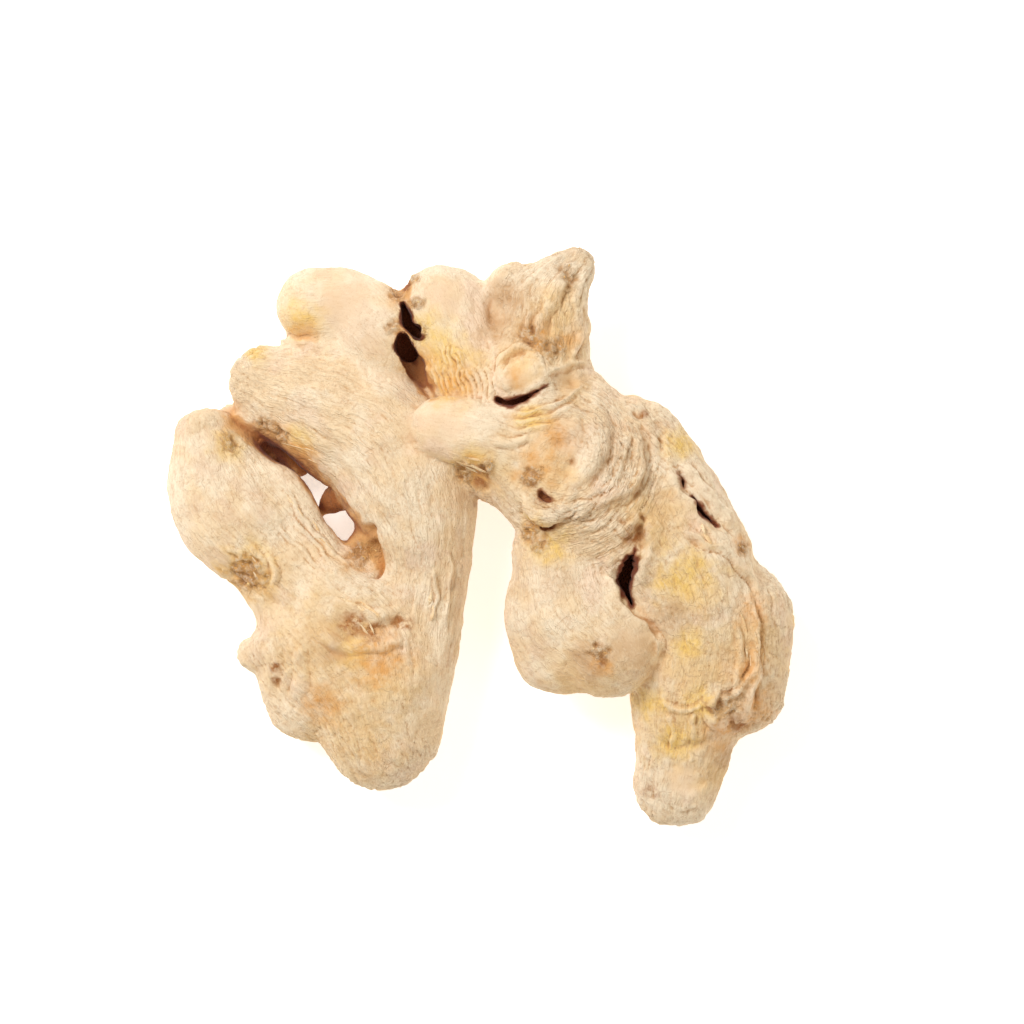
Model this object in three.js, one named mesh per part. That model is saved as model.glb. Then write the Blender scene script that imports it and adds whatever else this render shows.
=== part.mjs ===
// A dried, peeled ginger root lying on its flattest side: one rhizome of forked lobes, buds and
// stubs. Millimetres. +X runs along its longest reach, +Y across it, +Z up from the surface that it
// rests on, and the origin is at the middle of its outline on that surface.
import * as THREE from "three";

// How fine the solid is made, and how far its skin is drawn onto the exact shape.
const CELL = 2.9;
const MARGIN = 2 * CELL;
const DRAW_STEPS = 4;
const DRAW_REACH = 0.45 * CELL;
const REDRAW_REACH = 0.12 * CELL;
const EVENING = 0.5;
const SPINE_STEPS = 5;

// The middle of the outline, in the numbers of the spines below, and the height of its lowest skin.
const MIDDLE_X = 3.0;
const MIDDLE_Y = -0.2;
const REST_LEVEL = 0.5;

// What the flesh looks like once it is peeled and dried.
const FLESH_COLOUR = 0xe6c591;
const FLESH_ROUGHNESS = 0.85;

// A lobe is a chain of sections, each x, y, z and radius, from its thick end to its tip. "squash" is
// the height of a section over its width. "blend" is how far the lobe runs into its neighbours.
const LEFT_LOBES = {
  left_body: {
    blend: 4,
    squash: 0.8,
    spine: [
      [-44, 33.8, 12.5, 8.4],
      [-31, 29, 13, 12.5],
      [-18, 21.5, 13.5, 15],
      [-11.7, 8.3, 13, 14.3],
      [-9.5, -5, 12.5, 10.8],
      [-11, -20, 12, 10.5],
      [-14, -34, 11.5, 11],
    ],
  },
  top_knob: {
    blend: 4,
    squash: 0.95,
    spine: [
      [-33.5, 51.2, 13, 8.5],
      [-24, 50, 13.5, 9],
      [-17, 43, 14, 10],
    ],
  },
  knob_saddle: {
    blend: 4,
    squash: 1.0,
    spine: [
      [-33, 42.5, 11, 3.6],
      [-24, 41, 12, 6],
    ],
  },
  left_lobe: {
    blend: 3.5,
    squash: 0.85,
    spine: [
      [-57, 20, 12, 7.5],
      [-53.5, 11, 11.1, 12.3],
      [-50, 4.5, 11.2, 13.2],
      [-43.5, -2, 11, 12],
      [-34, -13, 11.5, 12],
      [-27, -22, 11.5, 13],
    ],
  },
  left_base: {
    blend: 4,
    squash: 0.76,
    spine: [
      [-30, -22, 11.4, 15],
      [-23, -31, 11.3, 15],
      [-18, -43, 11, 12.6],
    ],
  },
  lower_body: {
    blend: 4,
    squash: 0.9,
    spine: [
      [-28, -13, 12, 11],
      [-20, -20, 12.3, 12.3],
      [-17, -31, 12, 12.6],
    ],
  },
  side_nub: {
    blend: 3,
    squash: 1.0,
    spine: [
      [-37, -24, 12, 8],
      [-46, -25.5, 11, 4.2],
    ],
  },
  foot_nub: {
    blend: 3,
    squash: 1.0,
    spine: [
      [-40, -31, 10, 6],
      [-36, -38, 9.5, 6.8],
      [-28, -32, 10, 9],
    ],
  },
  // Shrunken tissue left between the lobes: it closes the deep crevice and leaves two holes in it.
  crevice_floor: {
    blend: 4,
    squash: 1.0,
    spine: [
      [-50, 26.5, 9, 4.5],
      [-43, 20, 8, 5.5],
      [-38.5, 15, 7, 4],
    ],
  },
  upper_web: {
    blend: 2.5,
    squash: 1.0,
    spine: [
      [-26, 12, 9, 4],
      [-30.5, 8.5, 9, 2.6],
      [-34, 4, 9, 2.6],
    ],
  },
  lower_web: {
    blend: 3.5,
    squash: 1.0,
    spine: [
      [-26, -9, 10, 4],
      [-21.5, -5, 11, 3.6],
      [-19, -1, 11, 3],
    ],
  },
};

const RIGHT_LOBES = {
  right_body: {
    blend: 4,
    squash: 0.68,
    spine: [
      [12, 31, 17, 13],
      [19, 20.5, 18, 18],
      [28, 11, 18, 18],
      [38, 2, 17.5, 16],
    ],
  },
  middle_knob: {
    blend: 4,
    squash: 0.9,
    spine: [
      [-4.5, 50, 13.5, 10.4],
      [-0.5, 40, 14.5, 10],
      [4, 30, 16, 10],
    ],
  },
  peak: {
    blend: 4,
    squash: 0.75,
    spine: [
      [15, 33, 18, 12.5],
      [16.5, 43, 18, 10.5],
      [19, 53, 17.5, 8],
      [24, 59.5, 17, 4.2],
    ],
  },
  peak_shoulder: {
    blend: 3,
    squash: 0.8,
    spine: [
      [18, 46, 18, 8],
      [10.5, 54.5, 16, 6],
    ],
  },
  knob_floor: {
    blend: 4,
    squash: 1.0,
    spine: [
      [-12, 51, 9, 4.5],
      [-12, 42, 9, 5.5],
      [-9, 33, 10, 6],
    ],
  },
  long_bud: {
    blend: 3,
    squash: 0.85,
    spine: [
      [12, 20, 21, 10],
      [4, 22.5, 24, 8],
      [-5, 24.3, 24.3, 7],
    ],
  },
  flank: {
    blend: 3,
    squash: 1.0,
    spine: [
      [6, 15, 16, 7],
      [-1, 16.3, 15, 6],
    ],
  },
  outer_ridge: {
    blend: 3,
    squash: 0.9,
    spine: [
      [31, 26, 17.5, 6.5],
      [38.5, 21.5, 18.3, 8],
      [48, 9.5, 18.5, 8],
      [53.5, 1, 17, 7.5],
      [57.5, -5, 16, 5.5],
    ],
  },
  ridge_stump: {
    blend: 1.5,
    squash: 1.0,
    spine: [
      [56, -1, 16.5, 3],
      [60.3, -1.3, 16.5, 2.3],
    ],
  },
  outer_lobe: {
    blend: 3,
    squash: 0.8,
    spine: [
      [43, 1, 16.5, 15],
      [49, -10, 15.5, 16],
      [51, -22, 12.7, 15.8],
      [50, -34, 11.6, 13.6],
      [48.6, -45, 11, 10.8],
      [46.8, -54.6, 9.6, 9.2],
    ],
  },
  side_stub: {
    blend: 3,
    squash: 0.85,
    spine: [
      [60.5, -17, 13.5, 11.3],
      [60, -33, 12.5, 10.8],
    ],
  },
  inner_lobe: {
    blend: 3,
    squash: 0.85,
    spine: [
      [21, -5, 16.5, 11.5],
      [24, -16, 17.5, 13.5],
      [31, -23.5, 18.5, 12],
    ],
  },
  inner_lobe_foot: {
    blend: 3,
    squash: 0.85,
    spine: [
      [20.8, -17, 16.5, 12.5],
      [22, -23, 15.5, 12],
    ],
  },
  lobe_floor: {
    blend: 4,
    squash: 1.0,
    spine: [
      [36, 0, 9, 5],
      [35.5, -12, 9, 6],
    ],
  },
  under_knob: {
    blend: 3,
    squash: 1.0,
    spine: [
      [18, 18, 11, 9],
      [22, 30, 9.8, 9.8],
    ],
  },
  round_bud: {
    blend: 1.5,
    squash: 0.75,
    spine: [
      [10.6, 34.6, 26.6, 3.6],
      [14.5, 35.6, 26.8, 4.4],
    ],
  },
  curled_nub: {
    blend: 1.5,
    squash: 0.9,
    spine: [
      [15.5, 7.5, 27.5, 2.2],
      [18.5, 5.5, 28.6, 3],
      [22, 7.2, 29, 2.4],
    ],
  },
};
const SIDES_BLEND = 2.5;

// Cracks opened by drying: a path of x, y and half width, cut from above down to a floor height.
const CRACKS = {
  knob_crevice: {
    blend: 0.8,
    floor: 9,
    path: [
      [-12.5, 52, 1],
      [-11.8, 47.5, 1.5],
      [-12.2, 43, 1.6],
      [-12.4, 40, 1.5],
      [-10.4, 36.5, 1.7],
      [-8.4, 33.2, 0.7],
    ],
  },
  mouth_crack: {
    blend: 0.5,
    floor: 22,
    path: [
      [6.5, 30.2, 0.5],
      [9.5, 29, 1.1],
      [12.5, 28.8, 1.1],
      [15.5, 30.2, 0.7],
      [17.8, 32, 0.4],
    ],
  },
  lobe_crevice: {
    blend: 0.6,
    floor: 10,
    path: [
      [37, 0.5, 0.4],
      [36.2, -3.5, 1.2],
      [34.9, -7.5, 1.7],
      [34.9, -10.5, 1.2],
      [36, -14, 0.5],
    ],
  },
  ridge_slit: {
    blend: 0.5,
    floor: 18,
    path: [
      [46.8, 11.5, 0.5],
      [48.5, 9, 0.7],
      [51.2, 6, 0.8],
      [54.5, 3, 0.4],
    ],
  },
};

// Shapes as distances: negative inside, positive outside.

function smoothMin(a, b, blend) {
  const overlap = Math.max(blend - Math.abs(a - b), 0) / blend;
  return Math.min(a, b) - overlap * overlap * blend * 0.25;
}

// More sections along a chain, on a smooth curve through the given ones.
function refine(chain, steps) {
  const first = chain[0].map((value, i) => 2 * value - chain[1][i]);
  const last = chain.at(-1).map((value, i) => 2 * value - chain.at(-2)[i]);
  const knots = [first, ...chain, last];
  const sections = [];
  for (let k = 1; k < knots.length - 2; k++) {
    for (let step = 0; step < steps; step++) {
      const t = step / steps;
      sections.push(knots[k].map((_, i) => {
        const [a, b, c, d] = [knots[k - 1][i], knots[k][i], knots[k + 1][i], knots[k + 2][i]];
        const bend = (2 * a - 5 * b + 4 * c - d) * t * t + (3 * b - a - 3 * c + d) * t ** 3;
        return 0.5 * (2 * b + (c - a) * t + bend);
      }));
    }
  }
  sections.push(chain.at(-1));
  return sections;
}

// Distance to a chain of round sections, whose radius runs evenly from one to the next. The last
// number of a section is its radius, and "scale" stretches space along each axis first.
function chainDistance(point, sections, scale) {
  let nearest = Infinity;
  for (let k = 0; k + 1 < sections.length; k++) {
    const a = sections[k];
    const b = sections[k + 1];
    let along = 0;
    let length = 0;
    for (let i = 0; i < scale.length; i++) {
      const side = (b[i] - a[i]) * scale[i];
      along += (point[i] - a[i]) * scale[i] * side;
      length += side * side;
    }
    const t = Math.min(Math.max(along / length, 0), 1);
    let gap = 0;
    for (let i = 0; i < scale.length; i++) {
      gap += ((point[i] - a[i] - (b[i] - a[i]) * t) * scale[i]) ** 2;
    }
    const radius = a.at(-1) + (b.at(-1) - a.at(-1)) * t;
    nearest = Math.min(nearest, Math.sqrt(gap) - radius);
  }
  return nearest;
}

function prepareLobes(lobes) {
  return Object.values(lobes).map(({ blend, squash, spine }) => ({
    blend,
    scale: [1, 1, 1 / squash],
    sections: refine(spine, SPINE_STEPS),
  }));
}

const FAR_AWAY = 50;
const leftLobes = prepareLobes(LEFT_LOBES);
const rightLobes = prepareLobes(RIGHT_LOBES);
const cracks = Object.values(CRACKS).map(({ blend, floor, path }) => ({
  blend,
  floor,
  sections: refine(path, SPINE_STEPS),
}));

function lobesDistance(point, lobes) {
  return lobes.reduce((distance, { blend, scale, sections }) => {
    return smoothMin(distance, chainDistance(point, sections, scale), blend);
  }, FAR_AWAY);
}

function rootDistance(point) {
  const left = lobesDistance(point, leftLobes);
  const right = lobesDistance(point, rightLobes);
  let distance = smoothMin(left, right, SIDES_BLEND);
  for (const { blend, floor, sections } of cracks) {
    const across = chainDistance(point, sections, [1, 1]);
    const crack = Math.max(across, floor - point[2]);
    distance = -smoothMin(-distance, crack, blend);
  }
  return distance;
}

// The box that holds every lobe, with a margin, as a count of cells along each axis.
function gridAround(lobes) {
  const low = [Infinity, Infinity, Infinity];
  const high = [-Infinity, -Infinity, -Infinity];
  for (const { sections } of lobes) {
    for (const section of sections) {
      for (let i = 0; i < 3; i++) {
        low[i] = Math.min(low[i], section[i] - section[3] - MARGIN);
        high[i] = Math.max(high[i], section[i] + section[3] + MARGIN);
      }
    }
  }
  const count = low.map((value, i) => Math.ceil((high[i] - value) / CELL) + 1);
  return { low, count };
}

// Which corners of the grid are in the flesh. Where flesh would touch itself only at an edge or a
// corner of the grid, the corner between is filled, so that the skin stays one clean surface.
function markFlesh({ low, count }) {
  const [nx, ny, nz] = count;
  const flesh = new Uint8Array(nx * ny * nz);
  const at = (x, y, z) => (z * ny + y) * nx + x;
  for (let z = 0; z < nz; z++) {
    for (let y = 0; y < ny; y++) {
      for (let x = 0; x < nx; x++) {
        const point = [low[0] + x * CELL, low[1] + y * CELL, low[2] + z * CELL];
        flesh[at(x, y, z)] = rootDistance(point) < 0 ? 1 : 0;
      }
    }
  }
  const squares = [[[1, 0, 0], [0, 1, 0]], [[0, 1, 0], [0, 0, 1]], [[0, 0, 1], [1, 0, 0]]];
  const diagonals = [[1, 1, 1], [-1, 1, 1], [1, -1, 1], [1, 1, -1]];
  let changed = true;
  while (changed) {
    changed = false;
    for (let z = 1; z < nz - 2; z++) {
      for (let y = 1; y < ny - 2; y++) {
        for (let x = 1; x < nx - 2; x++) {
          for (const [p, q] of squares) {
            const here = at(x, y, z);
            const alongP = at(x + p[0], y + p[1], z + p[2]);
            const alongQ = at(x + q[0], y + q[1], z + q[2]);
            const across = at(x + p[0] + q[0], y + p[1] + q[1], z + p[2] + q[2]);
            if (flesh[here] !== flesh[across] || flesh[alongP] !== flesh[alongQ]) continue;
            if (flesh[here] === flesh[alongP]) continue;
            flesh[flesh[here] ? alongP : here] = 1;
            changed = true;
          }
          for (const [dx, dy, dz] of diagonals) {
            const cube = [];
            for (const [i, j, k] of cubeCorners()) {
              cube.push(at(x + i, y + j, z + k));
            }
            const start = at(x + (dx < 0 ? 1 : 0), y + (dy < 0 ? 1 : 0), z + (dz < 0 ? 1 : 0));
            const end = at(x + (dx < 0 ? 0 : 1), y + (dy < 0 ? 0 : 1), z + (dz < 0 ? 0 : 1));
            if (flesh[start] !== flesh[end]) continue;
            const others = cube.filter((corner) => corner !== start && corner !== end);
            if (others.some((corner) => flesh[corner] === flesh[start])) continue;
            const filled = flesh[start] ? others : [start];
            filled.forEach((corner) => (flesh[corner] = 1));
            changed = true;
          }
        }
      }
    }
  }
  return flesh;
}

function cubeCorners() {
  const corners = [];
  for (const k of [0, 1]) {
    for (const j of [0, 1]) {
      for (const i of [0, 1]) corners.push([i, j, k]);
    }
  }
  return corners;
}

// Fills the pockets of air that no way leads into from outside, as between lobes that have grown
// together.
function fillPockets({ count }, flesh) {
  const [nx, ny, nz] = count;
  const strides = [1, nx, nx * ny];
  const reached = new Uint8Array(flesh.length);
  const waiting = [0];
  reached[0] = 1;
  while (waiting.length > 0) {
    const here = waiting.pop();
    const place = [here % nx, Math.floor(here / nx) % ny, Math.floor(here / (nx * ny))];
    place.forEach((step, i) => {
      for (const side of [-1, 1]) {
        const next = here + side * strides[i];
        if (step + side < 0 || step + side >= count[i] || flesh[next] || reached[next]) continue;
        reached[next] = 1;
        waiting.push(next);
      }
    });
  }
  return flesh.map((_, corner) => (reached[corner] ? 0 : 1));
}

// One point of skin in every cell that the surface crosses, and two triangles across every grid
// edge that runs from flesh to air, with their faces outwards.
function netSkin(grid, flesh) {
  const { low, count } = grid;
  const [nx, ny, nz] = count;
  const at = (x, y, z) => (z * ny + y) * nx + x;
  const corners = cubeCorners();
  const points = [];
  const pointOf = new Map();
  for (let z = 0; z < nz - 1; z++) {
    for (let y = 0; y < ny - 1; y++) {
      for (let x = 0; x < nx - 1; x++) {
        const inside = corners.filter(([i, j, k]) => flesh[at(x + i, y + j, z + k)]);
        if (inside.length === 0 || inside.length === 8) continue;
        pointOf.set(at(x, y, z), points.length);
        points.push([x, y, z].map((step, i) => low[i] + (step + 0.5) * CELL));
      }
    }
  }
  const triangles = [];
  const axes = [[1, 0, 0], [0, 1, 0], [0, 0, 1]];
  for (let z = 1; z < nz - 1; z++) {
    for (let y = 1; y < ny - 1; y++) {
      for (let x = 1; x < nx - 1; x++) {
        axes.forEach((axis, i) => {
          const here = flesh[at(x, y, z)];
          if (here === flesh[at(x + axis[0], y + axis[1], z + axis[2])]) return;
          const u = axes[(i + 1) % 3];
          const v = axes[(i + 2) % 3];
          const cell = (a, b) => pointOf.get(
            at(x - a * u[0] - b * v[0], y - a * u[1] - b * v[1], z - a * u[2] - b * v[2]),
          );
          const ring = [cell(0, 0), cell(1, 0), cell(1, 1), cell(0, 1)];
          if (!here) ring.reverse();
          triangles.push([ring[0], ring[1], ring[2]], [ring[0], ring[2], ring[3]]);
        });
      }
    }
  }
  return { points, triangles };
}

// Draws a point of skin onto the exact shape, by no more than a set reach.
function drawOnto(point, reach) {
  const start = [...point];
  const probe = 0.05;
  for (let step = 0; step < DRAW_STEPS; step++) {
    const distance = rootDistance(point);
    const slope = point.map((_, i) => {
      const ahead = [...point];
      ahead[i] += probe;
      return (rootDistance(ahead) - distance) / probe;
    });
    const steepness = Math.max(Math.hypot(...slope) ** 2, 0.2);
    point = point.map((value, i) => {
      const moved = value - (distance * slope[i]) / steepness;
      return Math.min(Math.max(moved, start[i] - reach), start[i] + reach);
    });
  }
  return point;
}

// Evens out the skin by moving each point part of the way to the mean of its neighbours.
function relax(points, triangles) {
  const sums = points.map(() => [0, 0, 0, 0]);
  for (const triangle of triangles) {
    for (let corner = 0; corner < 3; corner++) {
      const sum = sums[triangle[corner]];
      for (const other of [triangle[(corner + 1) % 3], triangle[(corner + 2) % 3]]) {
        points[other].forEach((value, i) => (sum[i] += value));
        sum[3] += 1;
      }
    }
  }
  return points.map((point, p) => point.map((value, i) => {
    return value + EVENING * (sums[p][i] / sums[p][3] - value);
  }));
}

function makeRhizome() {
  const grid = gridAround([...leftLobes, ...rightLobes]);
  const flesh = fillPockets(grid, markFlesh(grid));
  const { points: netPoints, triangles } = netSkin(grid, flesh);
  // The net is evened out, drawn onto the shape, and evened out once more where it folds sharply.
  let skin = relax(relax(netPoints, triangles), triangles);
  skin = skin.map((point) => drawOnto(point, DRAW_REACH));
  skin = relax(skin, triangles);
  skin = skin.map((point) => drawOnto(point, REDRAW_REACH));
  // The skin is flattened where the root rests.
  const placed = skin.flatMap(([x, y, z]) => [
    x - MIDDLE_X,
    y - MIDDLE_Y,
    Math.max(z - REST_LEVEL, 0),
  ]);
  const geometry = new THREE.BufferGeometry();
  geometry.setAttribute("position", new THREE.Float32BufferAttribute(placed, 3));
  geometry.setIndex(triangles.flat());
  geometry.computeVertexNormals();
  const fleshMaterial = new THREE.MeshStandardMaterial({
    color: FLESH_COLOUR,
    roughness: FLESH_ROUGHNESS,
    metalness: 0,
  });
  const rhizome = new THREE.Mesh(geometry, fleshMaterial);
  rhizome.name = "rhizome";
  return rhizome;
}

const gingerRoot = new THREE.Group();
gingerRoot.add(makeRhizome());

export default gingerRoot;
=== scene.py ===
# A peeled and dried ginger root, lying flat and seen from above. It is one piece of grown flesh, so
# the scene is its skin, with the loose fibres and crumbs of the same flesh that cling to it.
import itertools
import math

import bpy
import numpy as np
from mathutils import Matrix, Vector


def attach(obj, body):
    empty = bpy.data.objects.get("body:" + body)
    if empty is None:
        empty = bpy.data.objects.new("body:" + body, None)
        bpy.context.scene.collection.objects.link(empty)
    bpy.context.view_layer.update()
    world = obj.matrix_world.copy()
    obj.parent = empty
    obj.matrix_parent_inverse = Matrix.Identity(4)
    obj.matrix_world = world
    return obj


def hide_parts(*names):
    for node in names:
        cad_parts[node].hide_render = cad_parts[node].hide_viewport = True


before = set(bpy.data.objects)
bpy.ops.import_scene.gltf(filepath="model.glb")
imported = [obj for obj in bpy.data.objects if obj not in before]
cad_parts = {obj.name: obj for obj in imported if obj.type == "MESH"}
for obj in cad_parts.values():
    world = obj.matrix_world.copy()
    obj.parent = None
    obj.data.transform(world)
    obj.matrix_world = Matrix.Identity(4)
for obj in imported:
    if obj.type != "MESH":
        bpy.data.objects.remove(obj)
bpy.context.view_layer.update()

# The rhizome: swollen underground stems that forked, budded and grew into each other. Peeling left
# the pale flesh bare, and drying shrank it into wrinkles, folds and deep cracks. All of it is worked
# out in millimetres, from spines that run along the lobes, and then placed on the frame.
MM = 0.001
MIDDLE = np.array([3.0, -0.2, 0.5])
SIDES_BLEND = 1.2
NEAR_SKIN = 2.6
FAR_AWAY = 50.0

# Each lobe: side of the root, blend with its neighbours, height over width, grain family, how strong
# its fibres, rings and crinkles are, and its spine of x, y, z and radius.
LOBES = {
    "left_body": ("left", 3.0, 0.80, 0, (0.8, 0.1, 0.15), [
        (-44, 33.8, 12.5, 8.4), (-31, 29, 13, 12.5), (-18, 21.5, 13.5, 15), (-11.7, 8.3, 13, 14.3),
        (-9.5, -5, 12.5, 10.8), (-11, -20, 12, 10.5), (-14, -34, 11.5, 11)]),
    "top_knob": ("left", 1.6, 0.95, 1, (0.15, 0.1, 0.2), [
        (-33.5, 51.2, 13, 8.5), (-24, 50, 13.5, 9), (-17, 43, 14, 10)]),
    "knob_saddle": ("left", 2.0, 1.0, None, None, [
        (-36.6, 42.6, 12, 3.3), (-31, 42.3, 13, 5), (-24, 41, 13, 6.5)]),
    "left_lobe": ("left", 1.6, 0.85, 2, (0.5, 0.1, 0.4), [
        (-57.2, 20.8, 12, 7.9), (-53.5, 11, 11.1, 12.3), (-50, 4.5, 11.2, 13.2), (-43.5, -2, 11, 12),
        (-34, -13, 11.5, 12), (-27, -22, 11.5, 13)]),
    "left_base": ("left", 4.0, 0.76, 3, (0.9, 0.3, 0.35), [
        (-30, -22, 11.4, 15), (-23, -31, 11.3, 15), (-18, -43, 11, 12.6)]),
    "lower_body": ("left", 4.0, 0.9, 1, (0.9, 0.5, 0.35), [
        (-28, -13, 12, 11), (-20, -20, 12.3, 12.3), (-17, -31, 12, 12.6)]),
    "side_nub": ("left", 3.0, 1.0, None, None, [(-37, -24, 12, 8), (-46, -25.5, 11, 4.2)]),
    "foot_nub": ("left", 3.0, 1.0, None, None, [
        (-40, -31, 10, 6), (-36, -38, 9.5, 6.8), (-28, -32, 10, 9)]),
    "crevice_floor": ("left", 1.5, 1.0, None, None, [
        (-51.6, 26.6, 8.6, 3.2), (-47.8, 24.8, 7.6, 4.2), (-42.6, 21.4, 6.4, 4.2),
        (-39.2, 18.4, 5.5, 3.9), (-37.4, 15.8, 5, 3)]),
    "body_edge": ("left", 2.5, 1.0, None, None, [
        (-47.4, 27, 12, 3.2), (-41, 23.6, 12.4, 3.6), (-35, 19.8, 12.6, 3.4), (-30, 14.2, 12.6, 2.6)]),
    "lobe_rim": ("left", 2.5, 1.0, None, None, [
        (-51.2, 18.8, 13.5, 3.7), (-44.8, 14.4, 14.3, 4), (-39, 10, 14.3, 4), (-34.6, 2.2, 14, 4),
        (-30.4, -5, 13.5, 4)]),
    "upper_web": ("left", 1.0, 1.0, None, None, [
        (-26, 10, 9, 4.2), (-29.5, 7.6, 9, 2.6), (-32, 5.6, 9, 1.5), (-35, 3, 9, 2.6)]),
    "lower_web": ("left", 1.5, 1.0, None, None, [
        (-27, -8, 12, 4), (-23.4, -4.4, 13, 4), (-22.6, -0.4, 12.6, 3.2)]),
    "right_body": ("right", 3.0, 0.68, 0, (2.0, 0.1, 0.6), [
        (12, 31, 17, 13), (19, 20.5, 18, 18), (28, 11, 18, 18), (38, 2, 17.5, 16)]),
    "middle_knob": ("right", 2.0, 0.9, 2, (0.4, 0.1, 0.2), [
        (-4.5, 50, 13.5, 10.4), (-0.5, 40, 14.5, 10), (4, 30, 16, 10)]),
    "peak": ("right", 3.0, 0.75, 3, (0.9, 0.1, 0.6), [
        (15, 33, 18, 12.5), (16.5, 43, 18, 10.5), (19, 53, 17.5, 8), (24, 59.5, 17, 4.2)]),
    "peak_shoulder": ("right", 2.5, 0.8, None, None, [(18, 46, 18, 8), (10.5, 54.5, 16, 6)]),
    "knob_floor": ("right", 1.5, 1.0, None, None, [
        (-12, 51, 9, 4.5), (-12, 42, 9, 5.5), (-9, 33, 10, 6)]),
    "long_bud": ("right", 1.2, 0.85, 1, (0.25, 0.1, 0.2), [
        (12, 20, 21, 10), (4, 22.5, 24, 8), (-5, 24.3, 24.3, 7)]),
    "flank": ("right", 2.0, 1.0, None, None, [
        (6, 15, 16, 7), (-1, 16.3, 15.5, 6), (-6.4, 18.6, 17, 4.4)]),
    "outer_ridge": ("right", 1.2, 0.9, 2, (0.9, 0.1, 0.6), [
        (31, 26, 17.5, 6.5), (38.5, 21.5, 18.3, 8), (48, 9.5, 18.5, 8), (53.5, 1, 17, 7.5),
        (57.5, -5, 16, 5.5)]),
    "ridge_stump": ("right", 0.8, 1.0, None, None, [(56, -1, 16.5, 3), (60.3, -1.3, 16.5, 2.3)]),
    "outer_lobe": ("right", 2.0, 0.80, 3, (0.6, 0.2, 0.55), [
        (43, 1, 16.5, 15), (49, -10, 15.5, 16), (51, -22, 12.7, 15.8), (50, -34, 11.6, 13.6),
        (48.6, -45, 11, 10.8), (46.8, -54.6, 9.6, 9.2)]),
    "side_stub": ("right", 3.0, 0.85, 1, (0.9, 0.2, 0.9), [
        (60.5, -17, 13.5, 11.3), (60, -33, 12.5, 10.8)]),
    "inner_lobe": ("right", 0.8, 0.85, 1, (0.5, 0.1, 0.4), [
        (21, -5, 16.5, 11.5), (24, -16, 17.5, 13.5), (31, -23.5, 18.5, 12)]),
    "inner_lobe_foot": ("right", 1.4, 0.85, None, None, [(20.8, -17, 16.5, 12.5), (22, -23, 15.5, 12)]),
    "lobe_floor": ("right", 1.5, 1.0, None, None, [(36, 0, 9, 5), (35.5, -12, 9, 6)]),
    "under_knob": ("right", 3.0, 1.0, 2, (0.2, 0.2, 0.4), [(18, 18, 11, 9), (22, 30, 9.8, 9.8)]),
    "round_bud": ("right", 0.6, 0.75, None, None, [(10.6, 34.6, 26.6, 3.4), (14.5, 35.6, 26.8, 4.2)]),
    "curled_nub": ("right", 0.4, 0.9, None, None, [
        (13.8, 9.8, 26.8, 1.0), (13.9, 7, 27.4, 1.5), (16, 4.9, 27.9, 1.8), (19.2, 4.7, 28.3, 1.8),
        (21.8, 6.6, 28.9, 1.6), (23.4, 9.6, 29.6, 1.2)]),
}

# Cracks that opened as the flesh dried: blend, height of the floor, how dark the painted shade on their
# walls and floor is, and a path of x, y and half width.
CRACKS = {
    "knob_hole_high": (0.3, 13, 1.0, [
        (-13.5, 51, 0.4), (-12.8, 48.8, 1.2), (-12.5, 47.1, 1.3), (-10.9, 45.3, 0.9),
        (-9.7, 43.8, 0.3)]),
    "knob_hole_low": (0.3, 12, 0.9, [
        (-13.9, 44.6, 0.3), (-13.6, 43, 1.2), (-13.1, 41.5, 1.5), (-12, 40.3, 1.2)]),
    "knob_hollow": (0.4, 15.5, 0.6, [
        (-12.4, 40.6, 1.1), (-11.2, 38.3, 1.6), (-10, 36, 1.4), (-8.8, 33.8, 0.5)]),
    "mouth_crack": (0.2, 23.5, 1.0, [
        (7, 30.2, 0.3), (9.6, 29.4, 0.8), (12.2, 30, 0.7), (14.7, 31.2, 0.4), (17.5, 33.1, 0.2)]),
    "lobe_crevice": (0.3, 15.5, 1.0, [
        (36.8, -2.8, 0.4), (36, -5, 1.5), (35.3, -7.2, 2.0), (35, -9.6, 1.6), (35.5, -12, 1.0),
        (36.6, -14.8, 0.3)]),
    "slit_pit": (0.3, 22.5, 0.6, [(46.2, 14, 0.3), (47, 12.5, 0.75), (47.6, 11, 0.4)]),
    "ridge_slit": (0.2, 20.5, 0.9, [
        (49.4, 8.4, 0.5), (50.5, 7, 0.8), (52.3, 5, 0.6), (54, 3.4, 0.4), (55, 2.6, 0.25)]),
    "curl_pit": (0.3, 26.6, 0.55, [(16.4, 10, 0.3), (17.2, 8.8, 0.65), (18.4, 8.1, 0.35)]),
    "curl_hole": (0.3, 24.6, 0.5, [(16.6, 2.2, 0.25), (17.8, 1.9, 0.35), (19.2, 2.4, 0.2)]),
}
CRACK_ROUGHNESS = 0.36
CRACK_LUMP = 1.9


def refine(chain, steps=5):
    """More points along a chain, on a smooth curve through all of its own."""
    chain = np.array(chain, float)
    ends = 2 * chain[0] - chain[1], 2 * chain[-1] - chain[-2]
    knots = np.vstack([ends[0], chain, ends[1]])
    sections = []
    for a, b, c, d in zip(knots, knots[1:], knots[2:], knots[3:]):
        for t in np.arange(steps) / steps:
            bend = (2 * a - 5 * b + 4 * c - d) * t ** 2 + (3 * b - a - 3 * c + d) * t ** 3
            sections.append(0.5 * (2 * b + (c - a) * t + bend))
    return np.vstack([*sections, chain[-1]])


def smooth_min(a, b, blend):
    """The smaller of two distances, with a fillet where they are alike."""
    overlap = np.maximum(blend - np.abs(a - b), 0) / blend
    return np.minimum(a, b) - overlap ** 2 * blend * 0.25


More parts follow.
